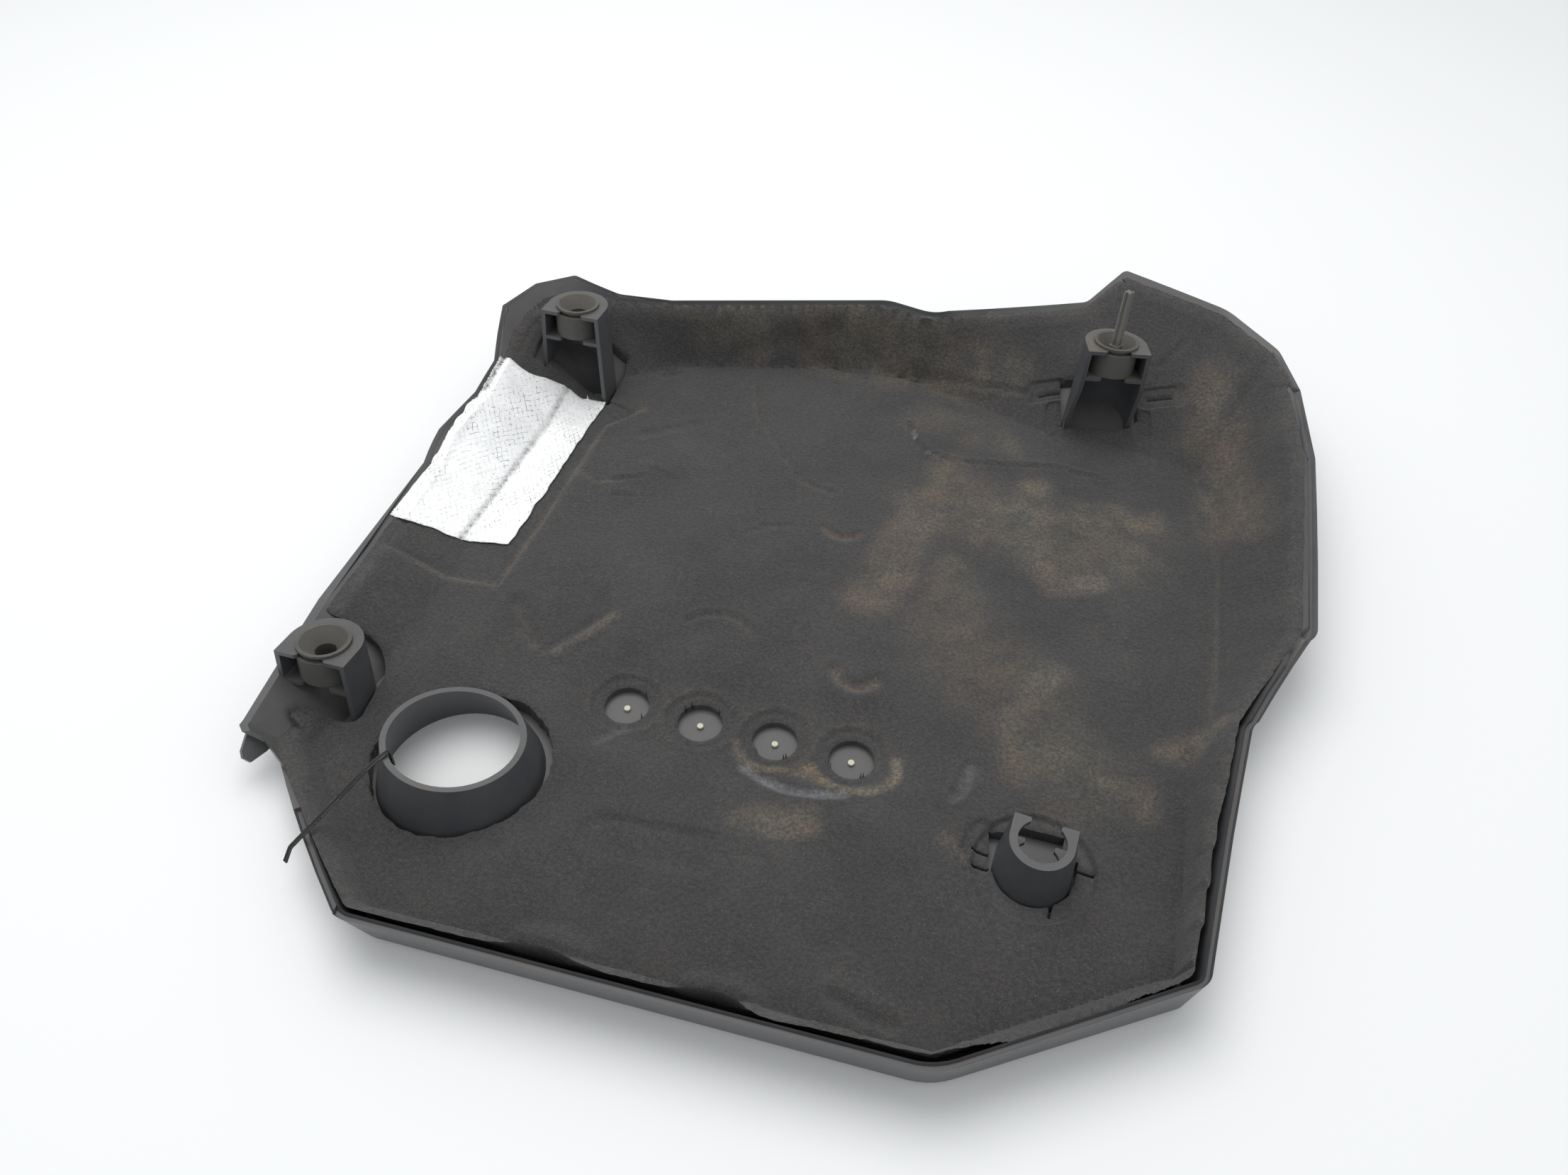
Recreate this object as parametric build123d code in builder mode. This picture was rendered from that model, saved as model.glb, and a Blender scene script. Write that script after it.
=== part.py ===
from build123d import *
import math
import os

# Engine cover, lying on its outer face with the lined underside up.
# Millimetres, +Z up. X runs along the row of round windows, +Y runs to the back.
# The flat outer face is on z = 0 and the plan of the rim is centred on the origin.

os.makedirs("parts", exist_ok=True)

# Overall plan size and the moulding's wall
WIDTH = 482.0
LENGTH = 523.0
WALL = 2.4
RIM_EDGE = 1.7
RIM_BROAD = 2.8
SHOULDER = 2.0
SHOULDER_RUN = 4.5

# Rim heights above the flat outer face
RIM_FRONT = 30.0
RIM_LEFT = 26.0
RIM_FLANK = 36.0
RIM_RIGHT = 46.0
RIM_BACK = 51.0
CORNER_LEFT = 57.0
CORNER_RIGHT = 68.0
OPEN_EDGE = 14.0

# Liner and foil
LINER = 8.6
FLANGE = 1.4
LINER_DROP = 0.8
CORNER_LEFT_DROP = 8.0
STEP = 1.2
SLIT = 1.4
FOIL = 0.8
WINDOW_R = 11.0
WINDOW_PITCH = 37.5

# Sockets: keyhole plates that hold a rubber grommet between them
PLATE = 2.2
HOLE_R = 10.5
MOUTH = 13.0
SOCKET_HALF = 18.0
SOCKET_FRONT = 13.0
SOCKET_SPREAD = 3.0
SOCKET_ROOT = 10.0
BODY_H = 14.5
BODY_R = 13.4
LIP_R = 12.8
LIP_H = 1.6
BORE_R = 5.0
NECK_CLEAR = 0.1
LIP_EDGE = 1.5
FUNNEL = 5.0
SOCKET_TOP_BACK_LEFT = 65.0
SOCKET_TOP_BACK_RIGHT = 70.0
SOCKET_TOP_FRONT_LEFT = 39.0
SOCKET_TOP_FRONT_RIGHT = 32.0
RING_HALF = 14.0
RING_FRONT = 10.4
RING_SPREAD = 5.0
RING_TURN = 176.0
CUT_CLEAR = 0.4

# Oil-filler collar
COLLAR_RIM_R = 31.5
COLLAR_WALL = 2.8
COLLAR_Z = 29.0
COLLAR_FLARE = 8.0
COLLAR_ROLL = 0.10
COLLAR_PITCH = 0.14

# Small parts
PIN_R = 1.6
PIN_H = 1.6
STUD_LEN = 37.0
STUD_ARM = 2.9
STUD_RIB = 1.8
STUD_FOOT = 4.0
STUD_PLUG = 9.0
TIE_W = 2.6
TIE_T = 1.2
TIE_HOOK = 9.0
TIE_REACH = 50.0
TIE_SAG = 10.6
TIE_END = 6.0
TIE_CLEAR = 0.5

# Construction levels and reach, past every wall
DRAWN_TOP = CORNER_RIGHT + 16
LINER_TOP = CORNER_RIGHT
FAR = 400.0

SX = WIDTH / 482.0
SY = LENGTH / 523.0


def plan(x, y):
    """Place a plan point, measured on the base size, on the size asked for."""
    return (x * SX, y * SY)


# Each row: the corner on the flat face, the same corner on the rim, its height,
# its rounding on the face and on the rim, and the gap the liner leaves to the wall there
CORNERS = [
    (plan(-138, -254), plan(-140, -262), RIM_FRONT, 16, 16, 4.0),
    (plan(102, -249), plan(102, -256), RIM_FRONT, 34, 34, 4.5),
    (plan(196, -188), plan(198, -192), RIM_FRONT, 10, 10, 4.0),
    (plan(199, -60), plan(213, -58), RIM_FRONT + 2, 30, 30, 3.6),
    (plan(202, 0), plan(242, 4), RIM_FLANK, 24, 24, 2.4),
    (plan(201, 108), plan(241, 132), RIM_RIGHT, 0, 0, 0.7),
    (plan(199, 126), plan(233, 190), RIM_RIGHT + 4, 0, 0, 0.7),
    (plan(188, 145), plan(220, 222), RIM_RIGHT + 8, 8, 24, 0.7),
    (plan(166, 154), plan(188, 250), CORNER_RIGHT - 9, 14, 30, 0.7),
    (plan(130, 163), plan(123, 262), CORNER_RIGHT, 6, 12, 0.7),
    (plan(100, 159), plan(103, 241), RIM_BACK + 3, 12, 12, 0.7),
    (plan(12, 188), plan(12, 202), RIM_BACK, 30, 30, 0.7),
    (plan(-20, 194), plan(-18, 209), RIM_BACK, 24, 24, 0.7),
    (plan(-138, 160), plan(-151, 171), RIM_BACK - 3, 0, 0, 0.7),
    (plan(-156, 148), plan(-186, 166), RIM_BACK - 2, 0, 0, 0.7),
    (plan(-176, 135), plan(-214, 166), CORNER_LEFT, 0, 0, 0.7),
    (plan(-188, 117), plan(-233, 150), CORNER_LEFT, 0, 0, 0.7),
    (plan(-194, 97), plan(-241.1, 124), CORNER_LEFT, 0, 0, 0.7),
    (plan(-199, 74), plan(-235, 88), RIM_LEFT + 14, 0, 0, 0.8),
    (plan(-200.5, 26), plan(-241, 26), RIM_LEFT + 7, 0, 0, 0.8),
    (plan(-201.5, 4), plan(-240.5, 4), RIM_LEFT, 0, 0, 0.8),
    (plan(-200, -108), plan(-240, -108), RIM_LEFT, 0, 0, 0.8),
    (plan(-209, -181), plan(-231, -188), RIM_LEFT + 1, 0, 0, 0.8),
]
BASE = [row[0] for row in CORNERS]
RIM = [row[1] for row in CORNERS]
HEIGHTS = [row[2] for row in CORNERS]
FACE_ROUNDS = [row[3] for row in CORNERS]
RIM_ROUNDS = [row[4] for row in CORNERS]
GAPS = [row[5] for row in CORNERS]
CLOSE = 1.0
LINER_FACE_ROUNDS = [row[3] if row[5] < CLOSE else 0 for row in CORNERS]
LINER_RIM_ROUNDS = [row[4] if row[5] < CLOSE else 0 for row in CORNERS]


def set_in(points, insets):
    """The same corners moved in, each by its own distance from both of its sides."""
    moved = []
    for before, here, after, inset in zip(points[-1:] + points[:-1], points, points[1:] + points[:1], insets):
        into = (Vector(here) - Vector(before)).normalized().rotate(Axis.Z, 90)
        away = (Vector(after) - Vector(here)).normalized().rotate(Axis.Z, 90)
        shift = (into + away) * (inset / (1 + into.dot(away)))
        moved.append((here[0] + shift.X, here[1] + shift.Y))
    return moved


def rounds(points, sizes, insets):
    """Corner radii after the walls move in: smaller outside corners, larger inside ones."""
    radii = []
    near = zip(points[-1:] + points[:-1], points, points[1:] + points[:1], sizes, insets)
    for before, here, after, size, inset in near:
        turn = (Vector(here) - Vector(before)).cross(Vector(after) - Vector(here)).Z
        radii.append(0 if size == 0 else max(size - math.copysign(inset, turn), 1.5))
    return radii


def dish(low, high, lift, floor_in, rim_in, face_rounds, rim_rounds):
    """The space between two levels, inside walls drawn straight from the floor past the rim.

    The floor is set in from the flat face by floor_in, and the wall passes the rim,
    lifted by lift, at rim_in inside it.
    """
    floor = set_in(BASE, floor_in)
    brim = set_in(RIM, rim_in)
    top = []
    for (x0, y0), (x1, y1), height in zip(floor, brim, HEIGHTS):
        share = (high - low) / (height + lift - low)
        top.append((x0 + (x1 - x0) * share, y0 + (y1 - y0) * share))
    with BuildPart() as body:
        with BuildSketch(Plane.XY.offset(low)):
            with BuildLine():
                FilletPolyline(*floor, radius=rounds(BASE, face_rounds, floor_in), close=True)
            make_face()
        with BuildSketch(Plane.XY.offset(high)):
            with BuildLine():
                FilletPolyline(*top, radius=rounds(RIM, rim_rounds, rim_in), close=True)
            make_face()
        loft(ruled=True)
    return body.part


NONE_IN = [0.0 for _ in CORNERS]
SHOULDER_IN = [SHOULDER_RUN for _ in CORNERS]
FLOOR_IN = [WALL + SHOULDER / 2 for _ in CORNERS]
EDGE_IN = [RIM_EDGE if x < plan(-225, 0)[0] else RIM_BROAD for x, _ in RIM]
LINER_IN = [WALL + SHOULDER / 2 + gap for gap in GAPS]
LINER_EDGE_IN = [edge + gap for edge, gap in zip(EDGE_IN, GAPS)]
FLANGE_IN = [edge + FLANGE for edge in LINER_EDGE_IN]

walls = dish(SHOULDER, DRAWN_TOP, 0.0, NONE_IN, NONE_IN, FACE_ROUNDS, RIM_ROUNDS)
inner = dish(WALL, DRAWN_TOP, RIM_EDGE, FLOOR_IN, EDGE_IN, FACE_ROUNDS, RIM_ROUNDS)
LINER_ROUNDS = (LINER_FACE_ROUNDS, LINER_RIM_ROUNDS)
liner_under = dish(WALL, LINER_TOP, RIM_EDGE, LINER_IN, LINER_EDGE_IN, *LINER_ROUNDS)
liner_over = dish(WALL + LINER, LINER_TOP, RIM_EDGE + FLANGE, LINER_IN, FLANGE_IN, *LINER_ROUNDS)

# Outer form: the flat face, a bevelled shoulder round it and the walls
with BuildPart() as outer:
    with BuildSketch():
        with BuildLine():
            face_line = set_in(BASE, SHOULDER_IN)
            FilletPolyline(*face_line, radius=rounds(BASE, FACE_ROUNDS, SHOULDER_IN), close=True)
        make_face()
    with BuildSketch(Plane.XY.offset(SHOULDER)):
        with BuildLine():
            FilletPolyline(*BASE, radius=FACE_ROUNDS, close=True)
        make_face()
    loft(ruled=True)
    add(walls)


def under_rim(left_corner, right_corner):
    """What lies below the rim, with the two back corners at their own heights."""
    with BuildPart() as below:
        with BuildSketch(Plane.YZ):
            with BuildLine():
                Polyline(
                    (-FAR, -FAR), (-FAR, RIM_FRONT), (-215 * SY, RIM_FRONT), (-185 * SY, RIM_LEFT + 1),
                    (-110 * SY, RIM_LEFT), (4 * SY, RIM_LEFT), (26 * SY, RIM_LEFT + 7), (62 * SY, RIM_LEFT + 9),
                    (88 * SY, RIM_LEFT + 14), (104 * SY, (RIM_LEFT + 14 + left_corner) / 2),
                    (121 * SY, left_corner), (150 * SY, CORNER_LEFT), (FAR, CORNER_LEFT), (FAR, -FAR), close=True,
                )
            make_face()
        extrude(amount=-FAR)
        with BuildSketch(Plane.YZ):
            with BuildLine():
                Polyline(
                    (-FAR, -FAR), (-FAR, RIM_FRONT), (-120 * SY, RIM_FRONT), (-58 * SY, RIM_FRONT + 2),
                    (4 * SY, RIM_FLANK), (132 * SY, RIM_RIGHT), (190 * SY, RIM_RIGHT + 4),
                    (200 * SY, right_corner), (FAR, right_corner), (FAR, -FAR), close=True,
                )
            make_face()
        extrude(amount=FAR)
        with BuildSketch(Plane.XZ):
            with BuildLine():
                FilletPolyline(
                    (-FAR, -FAR), (-FAR, left_corner + 1), (-216 * SX, left_corner + 1),
                    (-184 * SX, RIM_BACK - 2), (-150 * SX, RIM_BACK - 3), (-18 * SX, RIM_BACK),
                    (12 * SX, RIM_BACK), (103 * SX, RIM_BACK + 3), (122 * SX, right_corner),
                    (188 * SX, right_corner - 9), (220 * SX, RIM_RIGHT + 8), (233 * SX, RIM_RIGHT + 4),
                    (241 * SX, RIM_RIGHT), (FAR, RIM_RIGHT), (FAR, -FAR),
                    radius=[0, 0, 8, 20, 0, 0, 0, 8, 6, 0, 0, 0, 0, 0, 0], close=True,
                )
            make_face()
        extrude(amount=FAR, both=True, mode=Mode.INTERSECT)
    return below.part


shell_limit = under_rim(CORNER_LEFT, CORNER_RIGHT)
liner_limit = under_rim(CORNER_LEFT - CORNER_LEFT_DROP, CORNER_RIGHT)
liner_limit = liner_limit.moved(Location((0, 0, -LINER_DROP)))


def d_shape(half, front):
    """D outline: straight front towards -Y, straight sides and a round back."""
    with BuildSketch() as face:
        with BuildLine():
            Polyline((-half, 0), (-half, -front), (half, -front), (half, 0))
            ThreePointArc((half, 0), (0, half), (-half, 0))
        make_face()
    return face.sketch


def socket(half, front, depth, spread):
    """Socket tower hanging down from the top face of its keyhole plate at z = 0."""
    foot = d_shape(half + spread, front)
    crown = d_shape(half, front)
    foot_room = d_shape(half + spread - WALL, front + 20)
    crown_room = d_shape(half - WALL, front + 20)
    levels = (0, PLATE + BODY_H)
    shelves = [d_shape(half + spread * level / depth - WALL / 2, front) for level in levels]
    horn = front - math.sqrt(HOLE_R**2 - MOUTH**2 / 4)
    with BuildPart() as tower:
        with BuildSketch(Plane.XY.offset(-depth)):
            add(foot)
        with BuildSketch(Plane.XY):
            add(crown)
        loft(ruled=True)
        with BuildSketch(Plane.XY.offset(-depth)):
            add(foot_room)
        with BuildSketch(Plane.XY):
            add(crown_room)
        loft(ruled=True, mode=Mode.SUBTRACT)
        for level, shelf in zip(levels, shelves):
            with BuildSketch(Plane.XY.offset(-level)) as plate:
                add(shelf)
                Circle(HOLE_R, mode=Mode.SUBTRACT)
                with Locations((0, -front)):
                    Rectangle(MOUTH, 2 * front, mode=Mode.SUBTRACT)
                fillet(plate.vertices().group_by(Axis.Y)[0].sort_by(Axis.X)[1:3], radius=horn * 0.45)
            extrude(amount=-PLATE)
    return tower.part


BACK_LEFT = Location((-193 * SX, 124 * SY, SOCKET_TOP_BACK_LEFT), (-5, 0, 0))
BACK_RIGHT = Location((123 * SX, 175 * SY, SOCKET_TOP_BACK_RIGHT), (-7, 0, 13))
FRONT_LEFT = Location((-213 * SX, -141 * SY, SOCKET_TOP_FRONT_LEFT), (-9, 0, 0))
FRONT_RIGHT = Location((127 * SX, -148 * SY, SOCKET_TOP_FRONT_RIGHT), (0, 0, RING_TURN))
COLLAR = (-135.5 * SX, -168.5 * SY)
WINDOWS = (-19 * SX, -111.5 * SY)
COLLAR_PLANE = Plane((*COLLAR, COLLAR_Z), x_dir=(1, 0, -COLLAR_ROLL), z_dir=(COLLAR_ROLL, COLLAR_PITCH, 1))

socket_back_left = socket(SOCKET_HALF, SOCKET_FRONT, SOCKET_TOP_BACK_LEFT + SOCKET_ROOT, SOCKET_SPREAD)
socket_back_right = socket(SOCKET_HALF, SOCKET_FRONT, SOCKET_TOP_BACK_RIGHT + SOCKET_ROOT, SOCKET_SPREAD)
socket_front_left = socket(SOCKET_HALF, SOCKET_FRONT, SOCKET_TOP_FRONT_LEFT + SOCKET_ROOT, SOCKET_SPREAD / 2)
socket_front_right = socket(RING_HALF, RING_FRONT, SOCKET_TOP_FRONT_RIGHT + SOCKET_ROOT, RING_SPREAD)

with BuildPart() as towers:
    add(socket_back_left.moved(BACK_LEFT))
    add(socket_back_right.moved(BACK_RIGHT))
    add(socket_front_left.moved(FRONT_LEFT))
    add(socket_front_right.moved(FRONT_RIGHT))
    add(outer.part, mode=Mode.INTERSECT)

with BuildPart() as collar:
    with BuildSketch(Plane.XZ.offset(-COLLAR[1])):
        with BuildLine():
            Polyline(
                (COLLAR[0] + COLLAR_RIM_R - COLLAR_WALL - 2, COLLAR_Z + 10),
                (COLLAR[0] + COLLAR_RIM_R - 2, COLLAR_Z + 10),
                (COLLAR[0] + COLLAR_RIM_R, COLLAR_Z),
                (COLLAR[0] + COLLAR_RIM_R + COLLAR_FLARE, 0),
                (COLLAR[0] + COLLAR_RIM_R + COLLAR_FLARE - COLLAR_WALL, 0),
                (COLLAR[0] + COLLAR_RIM_R - COLLAR_WALL, COLLAR_Z),
                close=True,
            )
        make_face()
    revolve(axis=Axis((*COLLAR, 0), (0, 0, 1)))
    split(bisect_by=COLLAR_PLANE, keep=Keep.BOTTOM)

# The open edge at the left front, where the wall is only a low lip that rises to the front
OPEN_PLANE = Plane(plan(-221, -189) + (OPEN_EDGE,), x_dir=(1, 0, 0.1), z_dir=(-0.1, 0.085, 1))

# Free tip of the left wall, carried on past the open edge
TIP_PLANE = Plane(plan(-232, -177) + (RIM_LEFT + 1,), x_dir=(0.143, -0.902, -0.41), z_dir=(0.748, -0.16, 0.613))

with BuildPart() as wall_tip:
    with BuildSketch(TIP_PLANE):
        with BuildLine():
            Polyline((4, 0.6), (21, 0), (24, 1.5), (25, 5.5), (18.6, 11), (10, 16), (4, 16), close=True)
        make_face()
    extrude(amount=WALL)

with BuildPart() as cover_shell:
    add(outer.part)
    add(inner, mode=Mode.SUBTRACT)
    add(shell_limit, mode=Mode.INTERSECT)
    with BuildSketch(OPEN_PLANE):
        with BuildLine():
            Polyline((1, 0), (80, -46), (84, -110), (-80, -110), (-80, -11), (-15, -9), close=True)
        make_face()
    extrude(amount=60, mode=Mode.SUBTRACT)
    with Locations((*COLLAR, 0)):
        Cylinder(COLLAR_RIM_R + COLLAR_FLARE - COLLAR_WALL, 20, mode=Mode.SUBTRACT)
    add(towers.part)
    add(collar.part)
    add(wall_tip.part)

# Liner: a moulded pad on the floor, turned up along the walls, cut out round the fittings
with BuildPart() as foil_bed:
    with BuildSketch():
        with BuildLine():
            Polyline(plan(-165, 84), plan(-168, -60), plan(-290, -58), plan(-290, 150), plan(-151, 100), close=True)
        make_face()
    extrude(amount=DRAWN_TOP)
    add(liner_over.moved(Location((0, 0, -STEP))), mode=Mode.INTERSECT)

RING_DEPTH = SOCKET_TOP_FRONT_RIGHT + SOCKET_ROOT
RING_FOOT = RING_HALF + RING_SPREAD * (SOCKET_TOP_FRONT_RIGHT - WALL) / RING_DEPTH
ring_cut = d_shape(RING_FOOT + CUT_CLEAR, RING_FRONT + CUT_CLEAR)

with BuildPart() as foam_liner:
    add(liner_under)
    add(liner_over, mode=Mode.SUBTRACT)
    add(foil_bed.part, mode=Mode.SUBTRACT)
    add(liner_limit, mode=Mode.INTERSECT)
    with BuildSketch(OPEN_PLANE.offset(1.5)):
        with BuildLine():
            Polyline((-11, 29), (92, -50), (84, -110), (-80, -110), (-80, 29), close=True)
        make_face()
    extrude(amount=60, mode=Mode.SUBTRACT)
    with BuildSketch():
        with Locations(COLLAR):
            Circle(COLLAR_RIM_R + COLLAR_FLARE)
            with Locations((-2.5, 2.5), (2.5, 2.5)):
                Circle(COLLAR_RIM_R + COLLAR_FLARE)
        with Locations(WINDOWS):
            with GridLocations(WINDOW_PITCH, 0, 4, 1):
                Circle(WINDOW_R)
        with BuildLine():
            FilletPolyline(
                plan(-290, -113), plan(-228, -113), plan(-203, -116), plan(-194, -130), plan(-191.5, -162),
                plan(-216, -164), plan(-224, -175), plan(-222, -200), plan(-290, -200),
                radius=[0, 4, 14, 10, 6, 6, 6, 0, 0], close=True,
            )
        make_face()
        with Locations(plan(-193, 127)):
            Rectangle(2 * SOCKET_HALF + 9, 29)
            with Locations((-SOCKET_HALF - 1.5, -18), (SOCKET_HALF + 1.5, -18)):
                Rectangle(6, 9)
        with Locations(plan(124, 170)):
            Rectangle(2 * SOCKET_HALF + 9, 46, rotation=13)
            with Locations((-31, 9), (33, 16.5)):
                Rectangle(15, SLIT, rotation=14)
        with Locations(plan(127, -148)):
            add(ring_cut, rotation=RING_TURN)
            with Locations((0, RING_FRONT + 4)):
                Rectangle(2 * (RING_HALF - WALL), 12)
            with Locations((-15.5, 5.5)):
                Rectangle(9, 20, rotation=9)
            with Locations((-23.5, 3), (-22, -4.8), (21.5, 4.5)):
                Rectangle(9, SLIT, rotation=-5)
            with Locations((9.6, -17)):
                Rectangle(SLIT, 8, rotation=-5)
    extrude(amount=DRAWN_TOP, mode=Mode.SUBTRACT)

# Foil: a thin sheet that follows the liner's bed and its bank on the left
with BuildPart() as foil_shield:
    with BuildSketch():
        with BuildLine():
            Polyline(
                plan(-172, 104.8), plan(-175, -29), plan(-290, -61), plan(-290, 79), plan(-210, 101),
                plan(-198, 104), close=True,
            )
        make_face()
    extrude(amount=DRAWN_TOP)
    add(liner_over.moved(Location((0, 0, -STEP))), mode=Mode.INTERSECT)
    add(liner_over.moved(Location((0, 0, FOIL - STEP))), mode=Mode.SUBTRACT)
    add(liner_limit, mode=Mode.INTERSECT)

# Rubber grommet, drawn with the top face of its keyhole plate at z = 0
with BuildPart() as grommet:
    with BuildSketch(Plane.XZ):
        with BuildLine():
            Polyline(
                (BORE_R, -PLATE - BODY_H), (BODY_R, -PLATE - BODY_H), (BODY_R, -PLATE),
                (HOLE_R - NECK_CLEAR, -PLATE), (HOLE_R - NECK_CLEAR, 0), (LIP_R, 0), (LIP_R, LIP_H),
                (LIP_R - LIP_EDGE, LIP_H), (BORE_R, -FUNNEL), close=True,
            )
        make_face()
    revolve(axis=Axis.Z)

grommet_back_left = grommet.part.moved(BACK_LEFT)
grommet_back_right = grommet.part.moved(BACK_RIGHT)
grommet_front_left = grommet.part.moved(FRONT_LEFT)

# Ribbed pin standing in the back-right grommet, on a round plug that fills the bore
with BuildPart() as stud:
    with Locations((0, 0, -FUNNEL)):
        Cylinder(BORE_R, STUD_PLUG, align=(Align.CENTER, Align.CENTER, Align.MAX))
    with BuildSketch(Plane.XY.offset(-FUNNEL)):
        Rectangle(2 * STUD_ARM, STUD_RIB)
        Rectangle(STUD_RIB, 2 * STUD_ARM)
    extrude(amount=STUD_LEN)
    with BuildSketch(Plane.XY.offset(-FUNNEL)):
        Rectangle(2 * STUD_ARM, 2 * STUD_ARM, rotation=45)
    extrude(amount=STUD_FOOT)
stud_pin = stud.part.moved(BACK_RIGHT)

# Pale stake heads on the panel, one in each window
with BuildPart() as badge_pins:
    with BuildSketch(Plane.XY.offset(WALL)):
        with Locations(WINDOWS):
            with GridLocations(WINDOW_PITCH, 0, 4, 1):
                Circle(PIN_R)
    extrude(amount=PIN_H)

# Strap hooked over the collar's rim at the front left
HOOK_OUT = (COLLAR_RIM_R - COLLAR_WALL * 0.45) * math.sqrt(0.5)
HOOK = (COLLAR[0] - HOOK_OUT, COLLAR[1] - HOOK_OUT)
HOOK_Z = COLLAR_Z + HOOK_OUT * (COLLAR_ROLL + COLLAR_PITCH)
TIE_PLANE = Plane(HOOK + (HOOK_Z,), x_dir=(-0.395, -0.919, 0), z_dir=(-0.919, 0.395, 0))
TIE_OVER = TIE_T / 2 + TIE_CLEAR
with BuildPart() as cable_tie:
    with BuildSketch(TIE_PLANE):
        with BuildLine() as strap:
            FilletPolyline(
                (-COLLAR_WALL - TIE_OVER, -TIE_HOOK), (-COLLAR_WALL - TIE_OVER, TIE_OVER),
                (COLLAR_WALL + TIE_CLEAR, TIE_OVER), (TIE_REACH * 0.28, -TIE_SAG * 0.1),
                (TIE_REACH, -TIE_SAG), (TIE_REACH + TIE_END * 0.75, -TIE_SAG - TIE_END),
                radius=[TIE_T, TIE_T * 1.25, TIE_REACH * 0.16, TIE_T * 2],
            )
        trace(strap.line, line_width=TIE_T)
    extrude(amount=TIE_W / 2, both=True)

for part, name in (
    (cover_shell.part, "cover_shell"),
    (foam_liner.part, "foam_liner"),
    (foil_shield.part, "foil_shield"),
    (grommet_back_left, "grommet_back_left"),
    (grommet_back_right, "grommet_back_right"),
    (grommet_front_left, "grommet_front_left"),
    (stud_pin, "stud_pin"),
    (badge_pins.part, "badge_pins"),
    (cable_tie.part, "cable_tie"),
):
    part.label = name
    export_step(part, "parts/" + name + ".step")
    print(name, len(part.solids()), round(part.volume), part.bounding_box())
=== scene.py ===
"""Looks of a moulded engine cover that lies lined side up: shell, felted liner, foil, rubber and floor."""

import logging
import math
from dataclasses import dataclass, field
from enum import Enum

import bmesh
import bpy
import numpy as np
from mathutils import Matrix, Vector, noise
from mathutils.bvhtree import BVHTree
from mathutils.kdtree import KDTree


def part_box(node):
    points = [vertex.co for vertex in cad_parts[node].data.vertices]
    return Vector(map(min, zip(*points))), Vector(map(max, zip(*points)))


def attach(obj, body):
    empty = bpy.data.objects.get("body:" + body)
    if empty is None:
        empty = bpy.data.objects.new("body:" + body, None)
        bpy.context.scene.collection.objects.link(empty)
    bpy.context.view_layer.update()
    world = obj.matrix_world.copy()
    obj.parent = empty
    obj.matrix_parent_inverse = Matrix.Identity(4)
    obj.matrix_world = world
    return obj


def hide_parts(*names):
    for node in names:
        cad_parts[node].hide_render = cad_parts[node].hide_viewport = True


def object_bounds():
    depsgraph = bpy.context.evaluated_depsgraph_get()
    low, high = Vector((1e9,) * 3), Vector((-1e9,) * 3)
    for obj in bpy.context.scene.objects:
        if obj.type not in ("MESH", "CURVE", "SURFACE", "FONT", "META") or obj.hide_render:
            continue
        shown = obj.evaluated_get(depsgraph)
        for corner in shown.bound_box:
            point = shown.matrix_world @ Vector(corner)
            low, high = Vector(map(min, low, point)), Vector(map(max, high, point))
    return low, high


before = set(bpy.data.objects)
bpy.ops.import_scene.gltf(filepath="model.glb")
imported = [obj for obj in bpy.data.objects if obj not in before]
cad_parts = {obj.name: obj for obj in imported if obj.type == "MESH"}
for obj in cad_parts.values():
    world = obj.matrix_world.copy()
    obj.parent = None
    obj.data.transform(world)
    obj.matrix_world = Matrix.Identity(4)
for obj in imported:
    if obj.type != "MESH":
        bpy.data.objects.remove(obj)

LOG = logging.getLogger("engine_cover")
MM = 0.001
BODY = "root"
CAD_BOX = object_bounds()
UP = Vector((0.0, 0.0, 1.0))
DOWN = Vector((0.0, 0.0, -1.0))
MERGE = 0.002 * MM
SEED = 11

BMesh, BMVert, BMEdge, BMFace = bmesh.types.BMesh, bmesh.types.BMVert, bmesh.types.BMEdge, bmesh.types.BMFace
Node, NodeTree, Socket = bpy.types.Node, bpy.types.NodeTree, bpy.types.NodeSocket
Material, Object = bpy.types.Material, bpy.types.Object
Colour = tuple[float, float, float, float]
Plan = tuple[float, float]


class Slot(Enum):
    """The record's material slots."""

    SHELL = "shell_plastic"
    LINER = "liner_foam"
    FOIL = "foil"
    RUBBER = "grommet_rubber"
    STUD = "stud_plastic"
    PIN = "pin_plastic"
    TIE = "tie_plastic"


class Trait(Enum):
    """Attributes that a piece's mesh carries for its finish."""

    WORN = "worn"
    DUST = "dust"
    PALE = "pale"
    PRESSED = "pressed"


def seen(red: int, green: int, blue: int) -> Colour:
    """Turn a colour as it is seen into the linear colour that a shader takes.

    Args:
        red: Red from 0 to 255.
        green: Green from 0 to 255.
        blue: Blue from 0 to 255.

    Returns:
        The linear colour with full alpha.
    """
    parts = []
    for value in (red, green, blue):
        share = value / 255
        parts.append(share / 12.92 if share <= 0.04045 else ((share + 0.055) / 1.055) ** 2.4)
    return (parts[0], parts[1], parts[2], 1.0)


def arc(x: float, y: float, radius: float, start: float, end: float, count: int = 10) -> tuple[Plan, ...]:
    """Plan points along an arc.

    Args:
        x: Centre across, in millimetres.
        y: Centre to the back, in millimetres.
        radius: Radius in millimetres.
        start: First angle in degrees.
        end: Last angle in degrees.
        count: How many points.

    Returns:
        The points, in millimetres.
    """
    angles = [math.radians(start + (end - start) * n / (count - 1)) for n in range(count)]
    return tuple((x + radius * math.cos(a), y + radius * math.sin(a)) for a in angles)


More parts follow.
